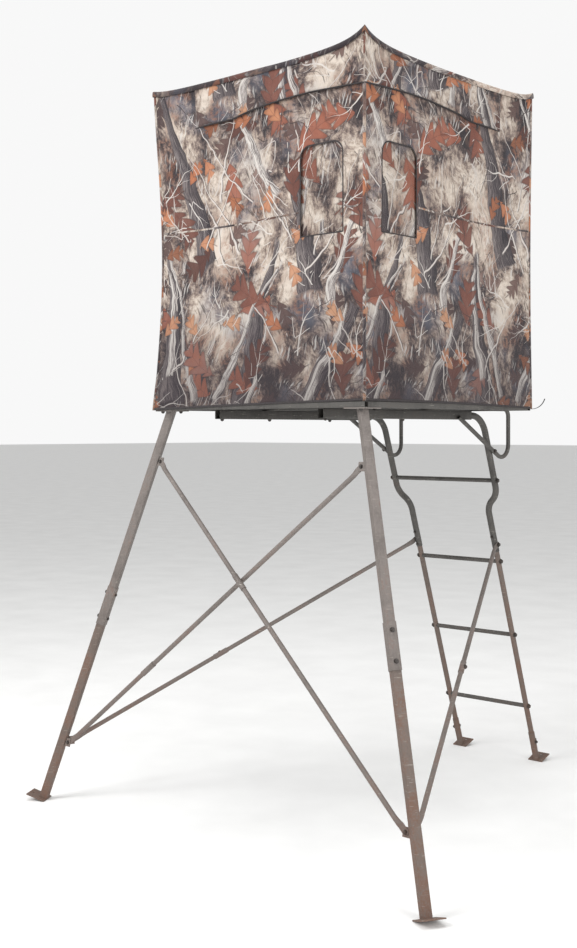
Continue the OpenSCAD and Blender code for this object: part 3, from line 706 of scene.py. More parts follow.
def camouflage(name, painted_shade_dim=1.0, see_through=False):
    made, wire = material(name)
    cloth = wire.node("UVMap", {"uv_map": "cloth"})
    drift = wire.node("TexNoise", {"noise_dimensions": "2D"}, {"Vector": cloth, "Scale": 2.6, "Detail": 3.0}, 1)
    bend = drift.vector("SUBTRACT", drift, (0.5, 0.5, 0.5))
    swayed = wire.vector("ADD", cloth, bend.vector("MULTIPLY", bend, (0.16, 0.16, 0.0)))
    u = wire.node("SeparateXYZ", None, {0: swayed}).math("WRAP", wire.node("SeparateXYZ", None, {0: swayed}), print_width, 0.0)
    v = wire.node("SeparateXYZ", None, {0: swayed}, 1)
    true_v = wire.node("SeparateXYZ", None, {0: cloth}, 1)
    mist = wire.node("TexNoise", {"noise_dimensions": "2D"}, {"Vector": swayed.vector("MULTIPLY", swayed, (1.0, 0.8, 1.0)),
                                                              "Scale": 4.6, "Detail": 8.0, "Roughness": 0.62})
    body = 0.5 - abs(true_v - 0.88) * 0.42
    litter = wire.node("TexNoise", {"noise_dimensions": "2D"}, {"Vector": swayed, "Scale": 30.0, "Detail": 7.0, "Roughness": 0.78})
    tone = mist + body * 0.46 + litter * 0.55 - 0.425
    colour = wire.node("ValToRGB", {"stops": [(0.34, paint(42, 36, 40)), (0.42, paint(82, 70, 68)), (0.49, paint(128, 112, 104)),
                                              (0.57, paint(172, 157, 144)), (0.68, paint(206, 194, 182))]}, {0: tone})
    cold = wire.node("TexNoise", {"noise_dimensions": "2D"}, {"Vector": cloth, "Scale": 3.4, "Detail": 2.0})
    colour = colour.tint(paint(112, 118, 132), ((cold - 0.54) * 5.0).clamp() * 0.42)
    fallen = wire.node("TexNoise", {"noise_dimensions": "2D"}, {"Vector": cloth, "Scale": 4.4, "Detail": 3.0})
    rusty = ((fallen - 0.52) * 7.0).clamp() * ((litter - 0.44) * 7.0).clamp()
    colour = colour.tint(paint(132, 84, 60), rusty * 0.6)
    for angle, seed, bright in ((0.35, 1.3, paint(204, 200, 196)), (-0.5, 7.7, paint(52, 42, 40)), (0.1, 4.1, paint(84, 66, 58))):
        turned = wire.node("VectorRotate", {"rotation_type": "Z_AXIS"}, {"Vector": swayed, "Angle": angle})
        long_way = turned.vector("MULTIPLY", turned, (78.0, 9.0, 1.0))
        stalk = wire.node("TexNoise", {"noise_dimensions": "2D"},
                          {"Vector": long_way.vector("ADD", long_way, (seed, seed, 0)), "Scale": 1.0, "Detail": 3.0})
        patch = wire.node("TexNoise", {"noise_dimensions": "2D"}, {"Vector": turned, "Scale": 6.0 + seed, "Detail": 1.0})
        colour = colour.tint(bright, ((stalk - 0.57) * 16.0).clamp() * ((patch - 0.50) * 6.0).clamp() * 0.7)

    def leaves(colour, size, share, shift, tones, lobes=2.5):
        spread = swayed.vector("MULTIPLY_ADD", cloth, (1 / size, 1 / size, 1.0), (shift, shift * 1.7, 0.0))
        cell = wire.node("TexVoronoi", {"voronoi_dimensions": "2D"}, {"Vector": spread, "Scale": 1.0, "Randomness": 0.75}, 2)
        chance = cell.other(1)
        luck = [wire.node("SeparateColor", None, {0: chance}, i) for i in range(3)]
        near = spread.vector("SUBTRACT", spread, cell)
        near = wire.node("VectorRotate", {"rotation_type": "Z_AXIS"}, {"Vector": near, "Angle": luck[0] * 6.283})
        a, b = (wire.node("SeparateXYZ", None, {0: near}, i) for i in range(2))
        b = b + a * a * 0.5 - 0.04
        half_wide = abs(b)
        slant = a - half_wide * 0.85
        body_line = 1.0 - (slant + 0.06) * (slant + 0.06) * 9.5
        full = body_line.math("SQRT", body_line.math("MAXIMUM", body_line, 0.0))
        wave = abs(slant.math("SINE", slant * lobes * 4.6 + luck[0] * 2.0))
        rim = full * (wave.math("POWER", wave, 0.8) * 0.185 + 0.035) + slant.math("SINE", slant * 90.0) * 0.007
        stalk = ((0.011 - half_wide) * (size / 0.002)).clamp() * (0.44 - abs(a)).math("GREATER_THAN", 0.44 - abs(a), 0.0)
        there = luck[1].math("LESS_THAN", luck[1], share)
        edge = (rim - half_wide) * (size / 0.0025)
        mask = edge.clamp().math("MAXIMUM", edge.clamp(), stalk) * there
        vein = (1.0 - half_wide * (size / 0.0022)).clamp() + (0.16 - wave).math("MULTIPLY", (0.16 - wave).clamp(), 2.0)
        dark = ((rim + 0.035 - half_wide) * (size / 0.008)).clamp() * there
        blend = wire.node("ValToRGB", {"stops": tones}, {0: luck[2] * 0.7 + mist * 0.5 - 0.1})
        shade = blend.tint(paint(52, 32, 30), (vein * 0.45 + ((1.0 - edge * 0.10).clamp() * 0.35)).clamp())
        return colour.tint(paint(46, 40, 42), dark * 0.4).tint(shade, mask * 0.92)

    rust = [(0.15, paint(84, 50, 42)), (0.45, paint(116, 70, 58)), (0.7, paint(150, 90, 70)), (0.9, paint(140, 106, 98))]
    amber = [(0.2, paint(132, 82, 58)), (0.5, paint(176, 110, 76)), (0.85, paint(192, 144, 112))]
    brown = [(0.2, paint(66, 50, 50)), (0.6, paint(104, 80, 74)), (0.9, paint(140, 118, 110))]
    colour = leaves(colour, 0.24, 0.45, 3.1, brown, 3.5)

    def limbs_over(colour, kind, rows):
        """Tapered limbs of one kind, laid over each other and then over the colour."""
        cover, turned, far_along = wire.math("ADD", 0.0, 0.0), wire.math("ADD", 0.0, 0.0), wire.math("ADD", 0.0, 0.0)
        for number, (u0, v0, u1, v1, w0, w1) in enumerate(rows):
            length = math.hypot(u1 - u0, v1 - v0)
            du, dv = (u1 - u0) / length, (v1 - v0) / length
            along = u * du + v * dv - (u0 * du + v0 * dv)
            side = u * dv - v * du - (u0 * dv - v0 * du)
            width = along * ((w1 - w0) / length) + w0
            ends = (along * 60.0).clamp() * ((length - along) * 60.0).clamp()
            mask = ((width - abs(side)) * 450.0).clamp() * ends
            turned = turned + (side.math("DIVIDE", side, width) - turned) * mask
            if kind != "stick":
                far_along = far_along + (along + number * 3.0 - far_along) * mask
            cover = cover.math("MAXIMUM", cover, mask)
        if kind == "stick":
            shade = wire.node("ValToRGB", {"stops": [(0.22, paint(60, 52, 52)), (0.5, paint(206, 198, 192))]},
                              {0: 0.5 - turned * 0.5})
            return colour.tint(shade, cover * 0.92)
        across_bark = 16.0 if kind == "dark" else 7.0
        grain = wire.node("CombineXYZ", None, {0: turned * across_bark * 0.5, 1: far_along * 7.0})
        bark = wire.node("TexNoise", {"noise_dimensions": "2D"}, {"Vector": grain, "Scale": 1.0, "Detail": 6.0, "Roughness": 0.74})
        tones = ([(0.36, paint(34, 30, 36)), (0.52, paint(68, 61, 65)), (0.66, paint(122, 113, 112))] if kind == "dark" else
                 [(0.36, paint(66, 59, 60)), (0.48, paint(146, 138, 135)), (0.60, paint(208, 202, 196))])
        shade = wire.node("ValToRGB", {"stops": tones}, {0: bark - turned * 0.10 + 0.02})
        edge_dark = ((abs(turned) - 0.72) * 3.0).clamp() * 0.45
        return colour.tint(shade.tint(paint(30, 26, 30), edge_dark), cover * 0.95)

    colour = limbs_over(colour, "dark", limbs["dark"])
    colour = leaves(colour, 0.33, 0.42, 0.4, rust, 3.2)
    colour = limbs_over(colour, "pale", limbs["pale"])
    colour = leaves(colour, 0.21, 0.26, 8.2, amber, 2.6)
    colour = limbs_over(colour, "stick", limbs["stick"])
    colour = leaves(colour, 0.38, 0.32, 5.6, rust, 3.4)

    def twigs(colour, size, share, shift, width, tone):
        spread = swayed.vector("MULTIPLY_ADD", swayed, (1 / size, 1 / size, 1.0), (shift, shift, 0.0))
        cell = wire.node("TexVoronoi", {"voronoi_dimensions": "2D"}, {"Vector": spread, "Scale": 1.0, "Randomness": 0.8}, 2)
        luck = [wire.node("SeparateColor", None, {0: cell.other(1)}, i) for i in range(2)]
        near = spread.vector("SUBTRACT", spread, cell)
        near = wire.node("VectorRotate", {"rotation_type": "Z_AXIS"}, {"Vector": near, "Angle": luck[0] * 6.283})
        a, b = (wire.node("SeparateXYZ", None, {0: near}, i) for i in range(2))
        stem = abs(b + a * a * 0.35 * 1.0)
        fork = abs(abs(b) - a.math("WRAP", a + 0.5, 0.31, 0.0) * 0.62 - 0.004)
        thin = (0.5 - a) * (width / size)
        line = ((thin - stem) * (size * 700)).clamp() + ((thin * 0.6 - fork) * (size * 700)).clamp() * (0.17 - abs(b)).math(
            "GREATER_THAN", 0.17 - abs(b), 0.0)
        return colour.tint(tone, line.clamp() * luck[1].math("LESS_THAN", luck[1], share) * 0.9)

    colour = twigs(colour, 0.33, 0.75, 2.2, 0.0052, paint(206, 200, 194))
    colour = twigs(colour, 0.22, 0.6, 6.9, 0.0036, paint(58, 48, 48))
    colour = twigs(colour, 0.42, 0.7, 9.4, 0.0064, paint(190, 182, 176))
    gloom = (0.66 - true_v) * 1.5
    colour = colour.tint(paint(44, 34, 38), gloom.clamp() * 0.55)
    # Below 1, painted_shade_dim darkens the whole print towards near-black: painted shade, used on the window mesh
    # recessed behind the wall.
    colour = colour.tint(paint(30, 26, 28), 1.0 - painted_shade_dim) if painted_shade_dim < 1 else colour
    across, down = (wire.node("SeparateXYZ", None, {0: cloth}, i) for i in range(2))
    weave = across.math("SINE", across * (6.283 / 0.0011)) * 0.5 + down.math("SINE", down * (6.283 / 0.0011)) * 0.5
    crumple = wire.node("TexNoise", {"noise_dimensions": "2D"}, {"Vector": cloth, "Scale": 9.0, "Detail": 4.0, "Roughness": 0.45})
    alpha = None
    if see_through:
        holes = (weave.math("SINE", across * (6.283 / 0.0028)) + weave.math("SINE", down * (6.283 / 0.0028)))
        alpha = 1.0 - ((holes - 1.75) * 6.0).clamp()
    finish(wire, colour, 0.72 + mist * 0.16, weave * 0.04 + crumple * 1.0, 0.006, 0.55,
           fixed={"Sheen Weight": 0.12, "Specular IOR Level": 0.3}, alpha=alpha)
    return made


camo_cloth = camouflage("camo_cloth")
# The window mesh is darkened by 7% as painted shade for its recess behind the wall.
camo_mesh = camouflage("camo_mesh", 0.93, True)
tape_finish, wire = material("dark_binding")
thread = wire.node("TexNoise", None, {"Vector": wire.node("TexCoord", None, None, 3), "Scale": 260.0, "Detail": 3.0})
finish(wire, wire.node("ValToRGB", {"stops": [(0.3, paint(34, 31, 33)), (0.7, paint(66, 60, 60))]}, {0: thread}), 0.8, thread, 0.0006)

cloth_out = half + 0.0043
creases = [tuple(random.uniform(a, b) for a, b in ((0, 1), (0, 1), (-1.2, 1.2), (0.02, 0.055), (-0.0035, 0.0035), (0.15, 0.5)))
           for i in range(26)]
hem_rises = {"front": (2.227, 2.240, 2.251, 2.259), "right": (2.259, 2.257, 2.249, 2.237),
             "back": (2.237, 2.240, 2.244, 2.232), "left": (2.232, 2.240, 2.236, 2.227)}
walls = {"front": (0, "L", "N", 1), "right": (90, "N", "R", -1), "back": (180, "R", "F", 1), "left": (270, "F", "L", -1)}
print_shift = {"front": 0.0, "right": 0.63, "back": 0.25, "left": 1.0}
window_wide, window_tall, window_foot, window_round = 0.280, 0.446, 3.090, 0.060


tips = {(-1, -1): 0.026, (1, -1): 0.078, (1, 1): 0.046, (-1, 1): 0.050}


def tip_rise(tip, t):
    """How far a corner tip lifts the eave at t, which is 1 at the corner and 0 halfway."""
    t = max(t, 0.0)
    return tip * (t ** 9 * 0.65 + t ** 2.4 * 0.35)


def on_wall(wall, s, z, lift=0.0):
    """The point of a wall's outer face at s along it and height z, pushed out by lift."""
    turn, first, last, side = walls[wall]
    t = min(max((s + cloth_out) / (2 * cloth_out), 0.0), 1.0)
    spots = hem_rises[wall]
    place = min(t, 0.9999) * 3
    k = int(place)
    hem = spots[k] + (spots[k + 1] - spots[k]) * (place - k)
    foot = wall_foot + 0.45
    if z < foot:
        z = foot - (foot - z) * (foot - hem) / (foot - wall_foot)
    height = (z - wall_foot) / (wall_head - wall_foot)
    tip_first, tip_last = tips[corner_places[first]], tips[corner_places[last]]
    z += min(max((z - 3.70) / (wall_head - 3.70), 0.0), 1.0) * (tip_rise(tip_first, 1 - 2 * t) + tip_rise(tip_last, 2 * t - 1))
    inward = bow(z) * (pull[first] * (1 - t) ** 1.6 + pull[last] * t ** 1.6)
    inner = max(0.0, math.sin(math.pi * t)) * max(0.0, math.sin(math.pi * min(max(height, 0), 1)))
    for u, v, slope, wide, deep, reach_far in creases:
        away = (t - u) - (height - v) * slope
        run = abs(height - v)
        if run < reach_far and abs(away) < 3 * wide:
            inward += deep * math.exp(-(away / wide) ** 2) * (1 - (run / reach_far) ** 2) * min(1, 4 * inner)
    inward += 0.004 * inner
    flare = 0.012 * max(0.0, 1 - height * 9) * (1 - t) ** 6 if first == "L" else 0.0
    flare += 0.012 * max(0.0, 1 - height * 9) * t ** 6 if last == "L" else 0.0
    shift = bow(z) * (pull[first] * (1 - t) ** 3 - pull[last] * t ** 3)
    off = cloth_out - inward + lift + flare
    a = math.radians(turn)
    x, y = s + shift, -off
    return Vector((x * math.cos(a) - y * math.sin(a), middle + x * math.sin(a) + y * math.cos(a), z))


def window_line(side, grow=0.0, steps=7):
    """The outline of a window, grown or shrunk."""
    centre, wide, r = side * (half - 0.275), window_wide / 2 + grow, window_round + grow
    low, high = window_foot - grow, window_foot + window_tall + grow
    line = [(centre - wide, low), (centre + wide, low)]
    for cx, start in ((centre + wide - r, 0), (centre - wide + r, math.pi / 2)):
        line += [(cx + r * math.cos(start + math.pi / 2 * i / steps), high - r + r * math.sin(start + math.pi / 2 * i / steps))
                 for i in range(steps + 1)]
    return line


def inside(points, line):
    """Which of the points lie inside a closed line."""
    hit = np.zeros(len(points), bool)
    x, y = points[:, 0], points[:, 1]
    for (x0, y0), (x1, y1) in zip(line, line[1:] + line[:1]):
        if y0 != y1:
            hit ^= ((y0 > y) != (y1 > y)) & (x < (x1 - x0) * (y - y0) / (y1 - y0) + x0)
    return hit


def cut_cloth(outline, holes, step):
    """A flat cut filled with small triangles, its holes left open."""
    points, edges = [], []
    for line in [outline] + holes:
        dense, start = [], len(points)
        for (x0, y0), (x1, y1) in zip(line, line[1:] + line[:1]):
            n = max(1, int(math.hypot(x1 - x0, y1 - y0) / step))
            dense += [(x0 + (x1 - x0) * i / n, y0 + (y1 - y0) * i / n) for i in range(n)]
        points += dense
        edges += [(start + i, start + (i + 1) % len(dense)) for i in range(len(dense))]
    lines = np.array(points)
    low, high = lines.min(0), lines.max(0)
    n = np.maximum(((high - low) / step).astype(int), 2)
    inner = np.array([(low[0] + (high[0] - low[0]) * i / n[0], low[1] + (high[1] - low[1]) * j / n[1])
                      for i in range(1, n[0]) for j in range(1, n[1])])
    clear = np.array([np.abs(lines - p).max(1).min() for p in inner]) > step * 0.45
    clear &= inside(inner, outline)
    for hole in holes:
        clear &= ~inside(inner, hole)
    points += [tuple(p) for p in inner[clear]]
    made = delaunay_2d_cdt([Vector(p) for p in points], edges, [], 0, 1e-6)
    spots = np.array([tuple(p) for p in made[0]])
    faces = np.array(made[2])
    mids = spots[faces].mean(1)
    keep = inside(mids, outline)
    for hole in holes:
        keep &= ~inside(mids, hole)
    return [tuple(p) for p in spots], [tuple(int(i) for i in f) for f in faces[keep]]


def cloth_piece(name, flat_points, faces, place, finish_material, slot, nodes=(), shift=(0.0, 0.0), thick=0.0012):
    """A sheet of cloth: its flat cut is the UV map in metres and place() hangs each point."""
    piece = mesh_piece(name, [place(*p) for p in flat_points], faces, finish_material, slot, nodes)
    layer = piece.data.uv_layers.new(name="cloth")
    at = np.array(flat_points)[[loop.vertex_index for loop in piece.data.loops]] + np.array(shift)
    layer.data.foreach_set("uv", at.ravel())
    if thick:
        solid = piece.modifiers.new("thick", "SOLIDIFY")
        solid.thickness = thick
        solid.offset = -1
    return piece


def strip(line, lift_low, lift_high, wide, place, flips=False):
    """A tape sewn along a line on a wall: points and faces of a band with rounded edges."""
    points, faces, n = [], [], len(line)
    for i, (s, z) in enumerate(line):
        s0, z0 = line[max(i - 1, 0)]
        s1, z1 = line[min(i + 1, n - 1)]
        way = Vector((s1 - s0, z1 - z0)).normalized()
        over = Vector((-way.y, way.x))
        for off, lift in ((-wide, lift_low), (-wide * 0.8, lift_high), (wide * 0.8, lift_high), (wide, lift_low)):
            points.append(place(s + over.x * off, z + over.y * off, lift))
    for i in range(n - 1):
        for j in range(3):
            a = i * 4 + j
            faces.append((a, a + 4, a + 5, a + 1) if not flips else (a, a + 1, a + 5, a + 4))
    return points, faces


# ---- Blind: walls, windows and door ----
# Four stretched panels are sewn along the corners and across the middle. The window
# openings are bound in dark tape and backed by printed mesh; the door is zipped.
door_wide, door_tall = 0.600, 1.560
door_line = [(-door_wide / 2, deck_top), (door_wide / 2, deck_top), (door_wide / 2, deck_top + door_tall - 0.08),
             (door_wide / 2 - 0.08, deck_top + door_tall), (-door_wide / 2 + 0.08, deck_top + door_tall),
             (-door_wide / 2, deck_top + door_tall - 0.08)]
slot_half = 0.0150
stitches, tapes = [], {}
for wall, (turn, first, last, side) in walls.items():
    outline = [(-cloth_out, wall_foot), (cloth_out, wall_foot), (cloth_out, wall_head), (-cloth_out, wall_head)]
    holes = [window_line(side)]
    if wall == "back":
        outline = [(-cloth_out, wall_foot), (-hoop_x - slot_half, wall_foot), (-hoop_x - slot_half, 2.262),
                   (-hoop_x + slot_half, 2.262), (-hoop_x + slot_half, wall_foot), (hoop_x - slot_half, wall_foot),
                   (hoop_x - slot_half, 2.262), (hoop_x + slot_half, 2.262), (hoop_x + slot_half, wall_foot),
                   (cloth_out, wall_foot), (cloth_out, wall_head), (-cloth_out, wall_head)]
        holes.append(door_line)
    flat_points, faces = cut_cloth(outline, holes, 0.017)
    sheet = cloth_piece("cloth_wall_" + wall, flat_points, faces, lambda s, z, w=wall: on_wall(w, s, z), camo_cloth, "camo_cloth",
                        ["wall_" + wall], (0.75 + print_shift[wall], -wall_foot))
    place = lambda s, z, lift, w=wall: on_wall(w, s, z, lift)
    border = window_line(side, 0.002)
    parts = [strip(border + border[:2], 0.0002, 0.0018, 0.0035, place)]
    hem_line = [(-cloth_out + 0.002 + 2 * (cloth_out - 0.002) * i / 90, wall_foot + 0.006) for i in range(91)]
    if wall == "back":
        hem_line = [p for p in hem_line if abs(abs(p[0]) - hoop_x) > 0.03]
        runs, here = [], [hem_line[0]]
        for p in hem_line[1:]:
            if p[0] - here[-1][0] > 0.03:
                runs.append(here)
                here = []
            here.append(p)
        runs.append(here)
    else:
        runs = [hem_line]
    parts += [strip(run, 0.0002, 0.0016, 0.006, place) for run in runs]
    binding = mesh_piece("binding_" + wall, *joined(parts), tape_finish, "camo_cloth")
    seams = []
    seam_z = 3.243 - (0.03 if wall in ("front", "back") else 0.0)
    centre = side * (half - 0.275)
    spans = [(-cloth_out + 0.02, cloth_out - 0.02)]
    spans = [(-cloth_out + 0.02, min(centre - 0.155, 9)), (centre + 0.155, cloth_out - 0.02)]
    if wall == "back":
        spans = [(-cloth_out + 0.02, -0.34), (0.34, cloth_out - 0.02)] if side < 0 else [(-cloth_out + 0.02, -0.34)]
    for a, b in spans:
        if b - a < 0.03:
            continue
        line = [(a + (b - a) * i / 40, seam_z - 0.012 * math.sin(math.pi * i / 40)) for i in range(41)]
        seams.append(strip(line, 0.0002, 0.0016, 0.005, place))
        n = int((b - a) / 0.011)
        for off in (-0.0032, 0.0032):
            for i in range(n):
                s = a + (b - a) * (i + 0.5) / n
                z = seam_z - 0.012 * math.sin(math.pi * (i + 0.5) / n) + off
                stitches.append((place(s, z, 0.0017), place(s + 0.005, z, 0.0017) - place(s, z, 0.0017), 1.0))
    seam_points, seam_faces = joined(seams)
    seam_piece = mesh_piece("seams_" + wall, seam_points, seam_faces, camo_cloth, "camo_cloth")
    layer = seam_piece.data.uv_layers.new(name="cloth")
    at = np.array([(p.x + p.y + print_shift[wall], p.z - wall_foot) for p in seam_points])
    layer.data.foreach_set("uv", at[[loop.vertex_index for loop in seam_piece.data.loops]].ravel())
    tapes[wall] = [binding, seam_piece]
    area = 4 * cloth_out * (wall_head - wall_foot) / 2 - window_wide * window_tall - (door_wide * door_tall if wall == "back" else 0)
    pane = [(centre + x, z) for x, z in ((-0.166, window_foot - 0.026), (0.166, window_foot - 0.026),
                                        (0.166, window_foot + window_tall + 0.026), (-0.166, window_foot + window_tall + 0.026))]
    pane_points, pane_faces = cut_cloth(pane, [], 0.02)
    pane_piece = cloth_piece("mesh_pane_" + wall, pane_points, pane_faces, lambda s, z, w=wall: on_wall(w, s, z, -0.011), camo_mesh,
                             "mesh_cloth", ["window_mesh_" + wall], (2.62 + print_shift[wall], -2.35), 0.0)

door_points, door_faces = cut_cloth([(s * 0.985, deck_top + 0.006 + (z - deck_top) * 0.992) for s, z in door_line], [], 0.018)
door = cloth_piece("cloth_door", door_points, door_faces, lambda s, z: on_wall("back", s, z, -0.0008), camo_cloth, "camo_cloth",
                   ["door_panel"], (0.75 + print_shift["back"], -wall_foot))
zip_line = [(s * 0.998, z) for s, z in door_line[1:]] + [(door_line[0][0] * 0.998, door_line[0][1] + 0.002)]
dense = []
for (x0, y0), (x1, y1) in zip(zip_line, zip_line[1:]):
    n = max(2, int(math.hypot(x1 - x0, y1 - y0) / 0.03))
    dense += [(x0 + (x1 - x0) * i / n, y0 + (y1 - y0) * i / n) for i in range(n)]
dense.append(zip_line[-1])
zip_tape = mesh_piece("zip_tape", *strip(dense, 0.0004, 0.0020, 0.014, lambda s, z, lift: on_wall("back", s, z, lift)),
                      tape_finish, "black_plastic")

# ---- Blind: corner seams ----
# A narrow doubled seam stands out along each corner, from the hem to the eave.
for corner, (wall_a, wall_b) in {"L": ("left", "front"), "N": ("front", "right"), "R": ("right", "back"),
                                 "F": ("back", "left")}.items():
    points, faces = [], []
    rows = 70
    for i in range(rows + 1):
        z = wall_foot + (wall_head - 0.012 - wall_foot) * i / rows
        wobble = 0.0012 * math.sin(i * 1.9) + 0.0008 * math.sin(i * 0.7 + 2)
        points.append(on_wall(wall_a, cloth_out - 0.011, z, 0.0012))
        points.append(on_wall(wall_a, cloth_out - 0.004, z, 0.0030 + wobble))
        points.append(on_wall(wall_a, cloth_out + 0.0035, z, 0.0030))
        points.append(on_wall(wall_b, -cloth_out + 0.004, z, 0.0030 - wobble))
        points.append(on_wall(wall_b, -cloth_out + 0.011, z, 0.0012))
    for i in range(rows):
        for j in range(4):
            a = i * 5 + j
            faces.append((a, a + 1, a + 6, a + 5))
    seam = mesh_piece("corner_seam_" + corner, points, faces, camo_cloth, "camo_cloth")
    layer = seam.data.uv_layers.new(name="cloth")
    at = np.array([(0.4 * (i % 5) / 4 * 0.06 + 2.3, p.z - wall_foot) for i, p in enumerate(points)])
    layer.data.foreach_set("uv", at[[loop.vertex_index for loop in seam.data.loops]].ravel())
    seam.modifiers.new("thick", "SOLIDIFY").thickness = 0.0008

# ---- Blind: roof and brows ----
# The roof is one sheet carried by the bowed poles, sharp at its four corners. Over each
# pair of windows its cloth runs on down as a brow that stands a little off the wall.
eave, roof_edge = 3.985, half + 0.0086
def on_roof(u, v):
    """Height and place of the roof at u, v from -1 to 1."""
    x, y = u * roof_edge, v * roof_edge
    rise = 0.166 * (1 - u * u) * (1 - v * v)
    for (sx, sy), tip in tips.items():
        rise += tip_rise(tip, max(0.0, u * sx) * max(0.0, v * sy))
    ridge = max(abs(u), abs(v)) - min(abs(u), abs(v))
    rise += 0.012 * math.exp(-(ridge / 0.05) ** 2) * min(1, 3 * (1 - max(abs(u), abs(v)))) * (abs(u * v)) ** 0.5
    rise += 0.0025 * math.sin(9 * u + 4 * v) * (1 - u * u) * (1 - v * v)
    return Vector((x, middle + y, eave + 0.002 + rise))


cells = 84
flat_points, points, faces = [], [], []
for j in range(cells + 1):
    for i in range(cells + 1):
        u, v = 2 * i / cells - 1, 2 * j / cells - 1
        flat_points.append((u * roof_edge + 0.9, v * roof_edge + 0.62))
        points.append(on_roof(u, v))
for j in range(cells):
    for i in range(cells):
        a = j * (cells + 1) + i
        faces.append((a, a + 1, a + cells + 2, a + cells + 1))
rim = [i for i in range(cells)] + [j * (cells + 1) + cells for j in range(cells)]
rim += [cells * (cells + 1) + i for i in range(cells, 0, -1)] + [j * (cells + 1) for j in range(cells, 0, -1)]
start = len(points)
for drop, out in ((0.004, 0.0035), (0.012, 0.0048), (0.030, 0.0052)):
    for k in rim:
        p, f = points[k], flat_points[k]
        away = Vector((p.x, p.y - middle))
        sx = 1 if away.x > roof_edge - 0.001 else -1 if away.x < -roof_edge + 0.001 else 0
        sy = 1 if away.y > roof_edge - 0.001 else -1 if away.y < -roof_edge + 0.001 else 0
        points.append(Vector((p.x + sx * out, p.y + sy * out, p.z - drop)))
        flat_points.append((f[0] + sx * drop, f[1] + sy * drop))
n = len(rim)
for k in range(n):
    faces.append((rim[k], start + k, start + (k + 1) % n, rim[(k + 1) % n]))
    for r in (0, 1):
        a, b = start + r * n + k, start + r * n + (k + 1) % n
        faces.append((a, a + n, b + n, b))
where = {tuple(f): p for f, p in zip(flat_points, points)}
roof = cloth_piece("cloth_roof", flat_points, faces, lambda s, z: where[(s, z)], camo_cloth, "camo_cloth", ["roof"])


def brow_low(q):
    """Height of a brow's lower edge at q metres along it from its corner."""
    t = min(abs(q) / 1.18, 1.0)
    return 3.758 + 0.040 * math.sin(math.pi * min(1.0, t * 1.25 + 0.06)) ** 0.8 - 0.004 * t


for node, (wall_a, wall_b) in {"brow_front": ("front", "right"), "brow_back": ("back", "left")}.items():
    columns, rows = 150, 12
    flat_points, points, faces = [], [], []
    for i in range(columns + 1):
        q = -1.18 + 2.36 * i / columns
        wall = wall_a if q < 0 else wall_b
        s = cloth_out + q if q < 0 else -cloth_out + q
        ends = min(1.0, (1.18 - abs(q)) / 0.12)
        corner = math.exp(-(q / 0.05) ** 2)
        u = (s if q < 0 else -s) / roof_edge
        tip = 0.0 if abs(q) > 0.9 else 0.0
        rim_z = 0.0
        for j in range(rows + 1):
            t = j / rows
            top = wall_head + 0.004
            z = brow_low(q) + (top - brow_low(q)) * t
            off = 0.0035 + 0.012 * (1 - t) ** 2.2 * ends * (1 - 0.55 * corner) + 0.0015 * math.sin(q * 21) * ends * (1 - t)
            points.append(on_wall(wall, s, z, off))
            flat_points.append((q + 2.1, z - 3.3))
    for i in range(columns):
        for j in range(rows):
            a = i * (rows + 1) + j
            faces.append((a, a + rows + 1, a + rows + 2, a + 1))
    where = {tuple(f): p for f, p in zip(flat_points, points)}
    brow = cloth_piece("cloth_" + node, flat_points, faces, lambda s, z: where[(s, z)], camo_cloth, "camo_cloth", [node])
    # Dark binding tape wraps the brow's lower edge, and its underside runs on back to 6 mm off the wall: that dark
    # underside is painted shade filling the shadowed slit between brow and wall.
    band = [(-1.18 + 2.36 * i / 120) for i in range(121)]
    brow_tape_and_slit_shade_points, brow_tape_and_slit_shade_faces = [], []
    for q in band:
        wall = wall_a if q < 0 else wall_b
        s = cloth_out + q if q < 0 else -cloth_out + q
        for up_by, lift in ((-0.001, 0.006), (-0.001, 0.0170), (0.003, 0.0175), (0.004, 0.006)):
            ends = min(1.0, (1.18 - abs(q)) / 0.12)
            corner = 1 - 0.55 * math.exp(-(q / 0.05) ** 2)
            brow_tape_and_slit_shade_points.append(on_wall(wall, s, brow_low(q) + up_by, 0.004 + (lift - 0.004) * ends * corner))
    for i in range(120):
        for j in range(3):
            a = i * 4 + j
            brow_tape_and_slit_shade_faces.append((a, a + 4, a + 5, a + 1))
    brow_tape_and_slit_shade = mesh_piece("binding_" + node, brow_tape_and_slit_shade_points, brow_tape_and_slit_shade_faces, tape_finish, "camo_cloth")

# ---- Hem hook, bolts and stitches ----
# A black plastic hook curls out of the hem. Zinc-free black bolts and paler thread
# finish the joints; each is one small shape repeated.
plastic, wire = material("hook_plastic")
pits = wire.node("TexNoise", None, {"Vector": wire.node("TexCoord", None, None, 3), "Scale": 240.0, "Detail": 3.0})
finish(wire, wire.node("ValToRGB", {"stops": [(0.35, paint(20, 20, 21)), (0.7, paint(40, 39, 38))]}, {0: pits}), 0.42, pits, 0.0004)
dress(plastic, "hem_hook")
bolt_finish = steel("bolt_black", paint(62, 58, 55), paint(34, 32, 31), paint(70, 55, 45), 0.3, 0.5, 0.42)

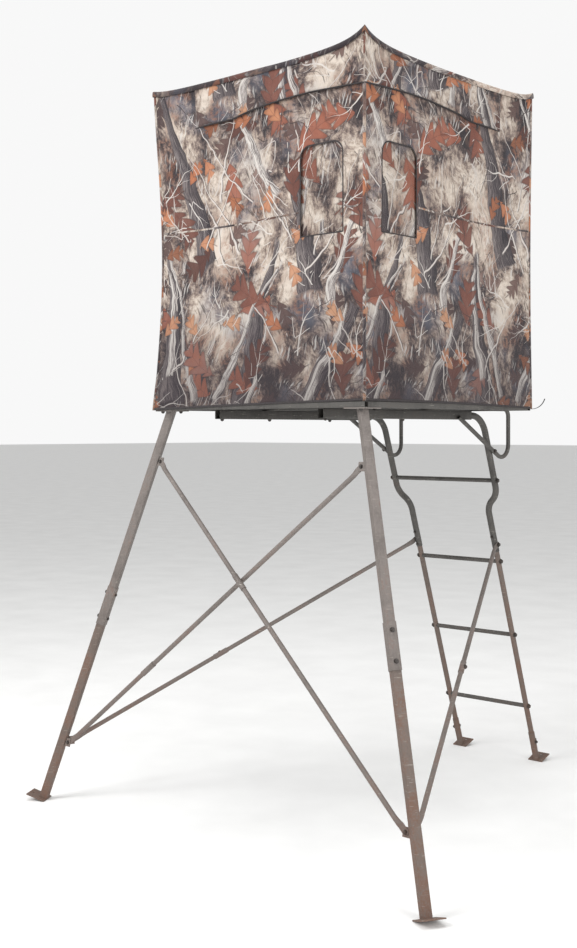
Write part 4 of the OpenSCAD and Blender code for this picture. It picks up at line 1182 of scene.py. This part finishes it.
growth = Growth("bolt_rows", [("Head width", "Float", 0.0095), ("Head height", "Float", 0.0075), ("Washer width", "Float", 0.0125)])
given = growth.start.outputs
head = growth.add("GeometryNodeMeshCylinder", None, {"Vertices": 6, "Radius": given["Head width"], "Depth": given["Head height"]})
lift = growth.add("ShaderNodeCombineXYZ", None, {2: 0.0052})
head_up = growth.add("GeometryNodeTransform", None, {"Geometry": head.outputs[0], "Translation": lift.outputs[0]})
dome = growth.add("GeometryNodeMeshUVSphere", None, {"Segments": 16, "Rings": 8, "Radius": 0.0062})
squash = growth.add("GeometryNodeTransform", None, {"Geometry": dome.outputs[0], "Translation": (0, 0, 0.009), "Scale": (1, 1, 0.55)})
washer = growth.add("GeometryNodeMeshCylinder", None, {"Vertices": 20, "Radius": given["Washer width"], "Depth": 0.0018})
washer_up = growth.add("GeometryNodeTransform", None, {"Geometry": washer.outputs[0], "Translation": (0, 0, 0.0008)})
whole = growth.add("GeometryNodeJoinGeometry")
for part in (head_up, squash, washer_up):
    growth.tree.links.new(part.outputs[0], whole.inputs[0])
way = growth.add("GeometryNodeInputNamedAttribute", {"data_type": "FLOAT_VECTOR"}, {"Name": "way"})
size = growth.add("GeometryNodeInputNamedAttribute", {"data_type": "FLOAT"}, {"Name": "size"})
aim = growth.add("FunctionNodeAlignRotationToVector", {"axis": "Z"}, {"Vector": way.outputs[0]})
spots = growth.add("GeometryNodeInstanceOnPoints", None, {"Points": given["Geometry"], "Instance": whole.outputs[0],
                                                          "Rotation": aim.outputs[0], "Scale": size.outputs[0]})
growth.close(spots.outputs[0], bolt_finish)
grown("bolts", bolts, growth.tree, {"Head width": 0.0095}, bolt_finish)

thread_finish, wire = material("thread")
lint = wire.node("TexNoise", None, {"Vector": wire.node("TexCoord", None, None, 3), "Scale": 500.0, "Detail": 2.0})
finish(wire, wire.node("ValToRGB", {"stops": [(0.3, paint(92, 82, 72)), (0.7, paint(132, 120, 106))]}, {0: lint}), 0.8, lint, 0.0003)
growth = Growth("stitch_rows", [("Stitch length", "Float", 0.007), ("Stitch width", "Float", 0.0009)])
given = growth.start.outputs
grain = growth.add("ShaderNodeCombineXYZ", None, {0: given["Stitch length"], 1: given["Stitch width"], 2: 0.0006})
one = growth.add("GeometryNodeMeshCube", None, {"Size": grain.outputs[0]})
way = growth.add("GeometryNodeInputNamedAttribute", {"data_type": "FLOAT_VECTOR"}, {"Name": "way"})
aim = growth.add("FunctionNodeAlignRotationToVector", {"axis": "X"}, {"Vector": way.outputs[0]})
spots = growth.add("GeometryNodeInstanceOnPoints", None, {"Points": given["Geometry"], "Instance": one.outputs[0],
                                                          "Rotation": aim.outputs[0]})
growth.close(spots.outputs[0], thread_finish)
grown("stitches", stitches, growth.tree, {"Stitch length": 0.007}, thread_finish)

bpy.context.view_layer.update()
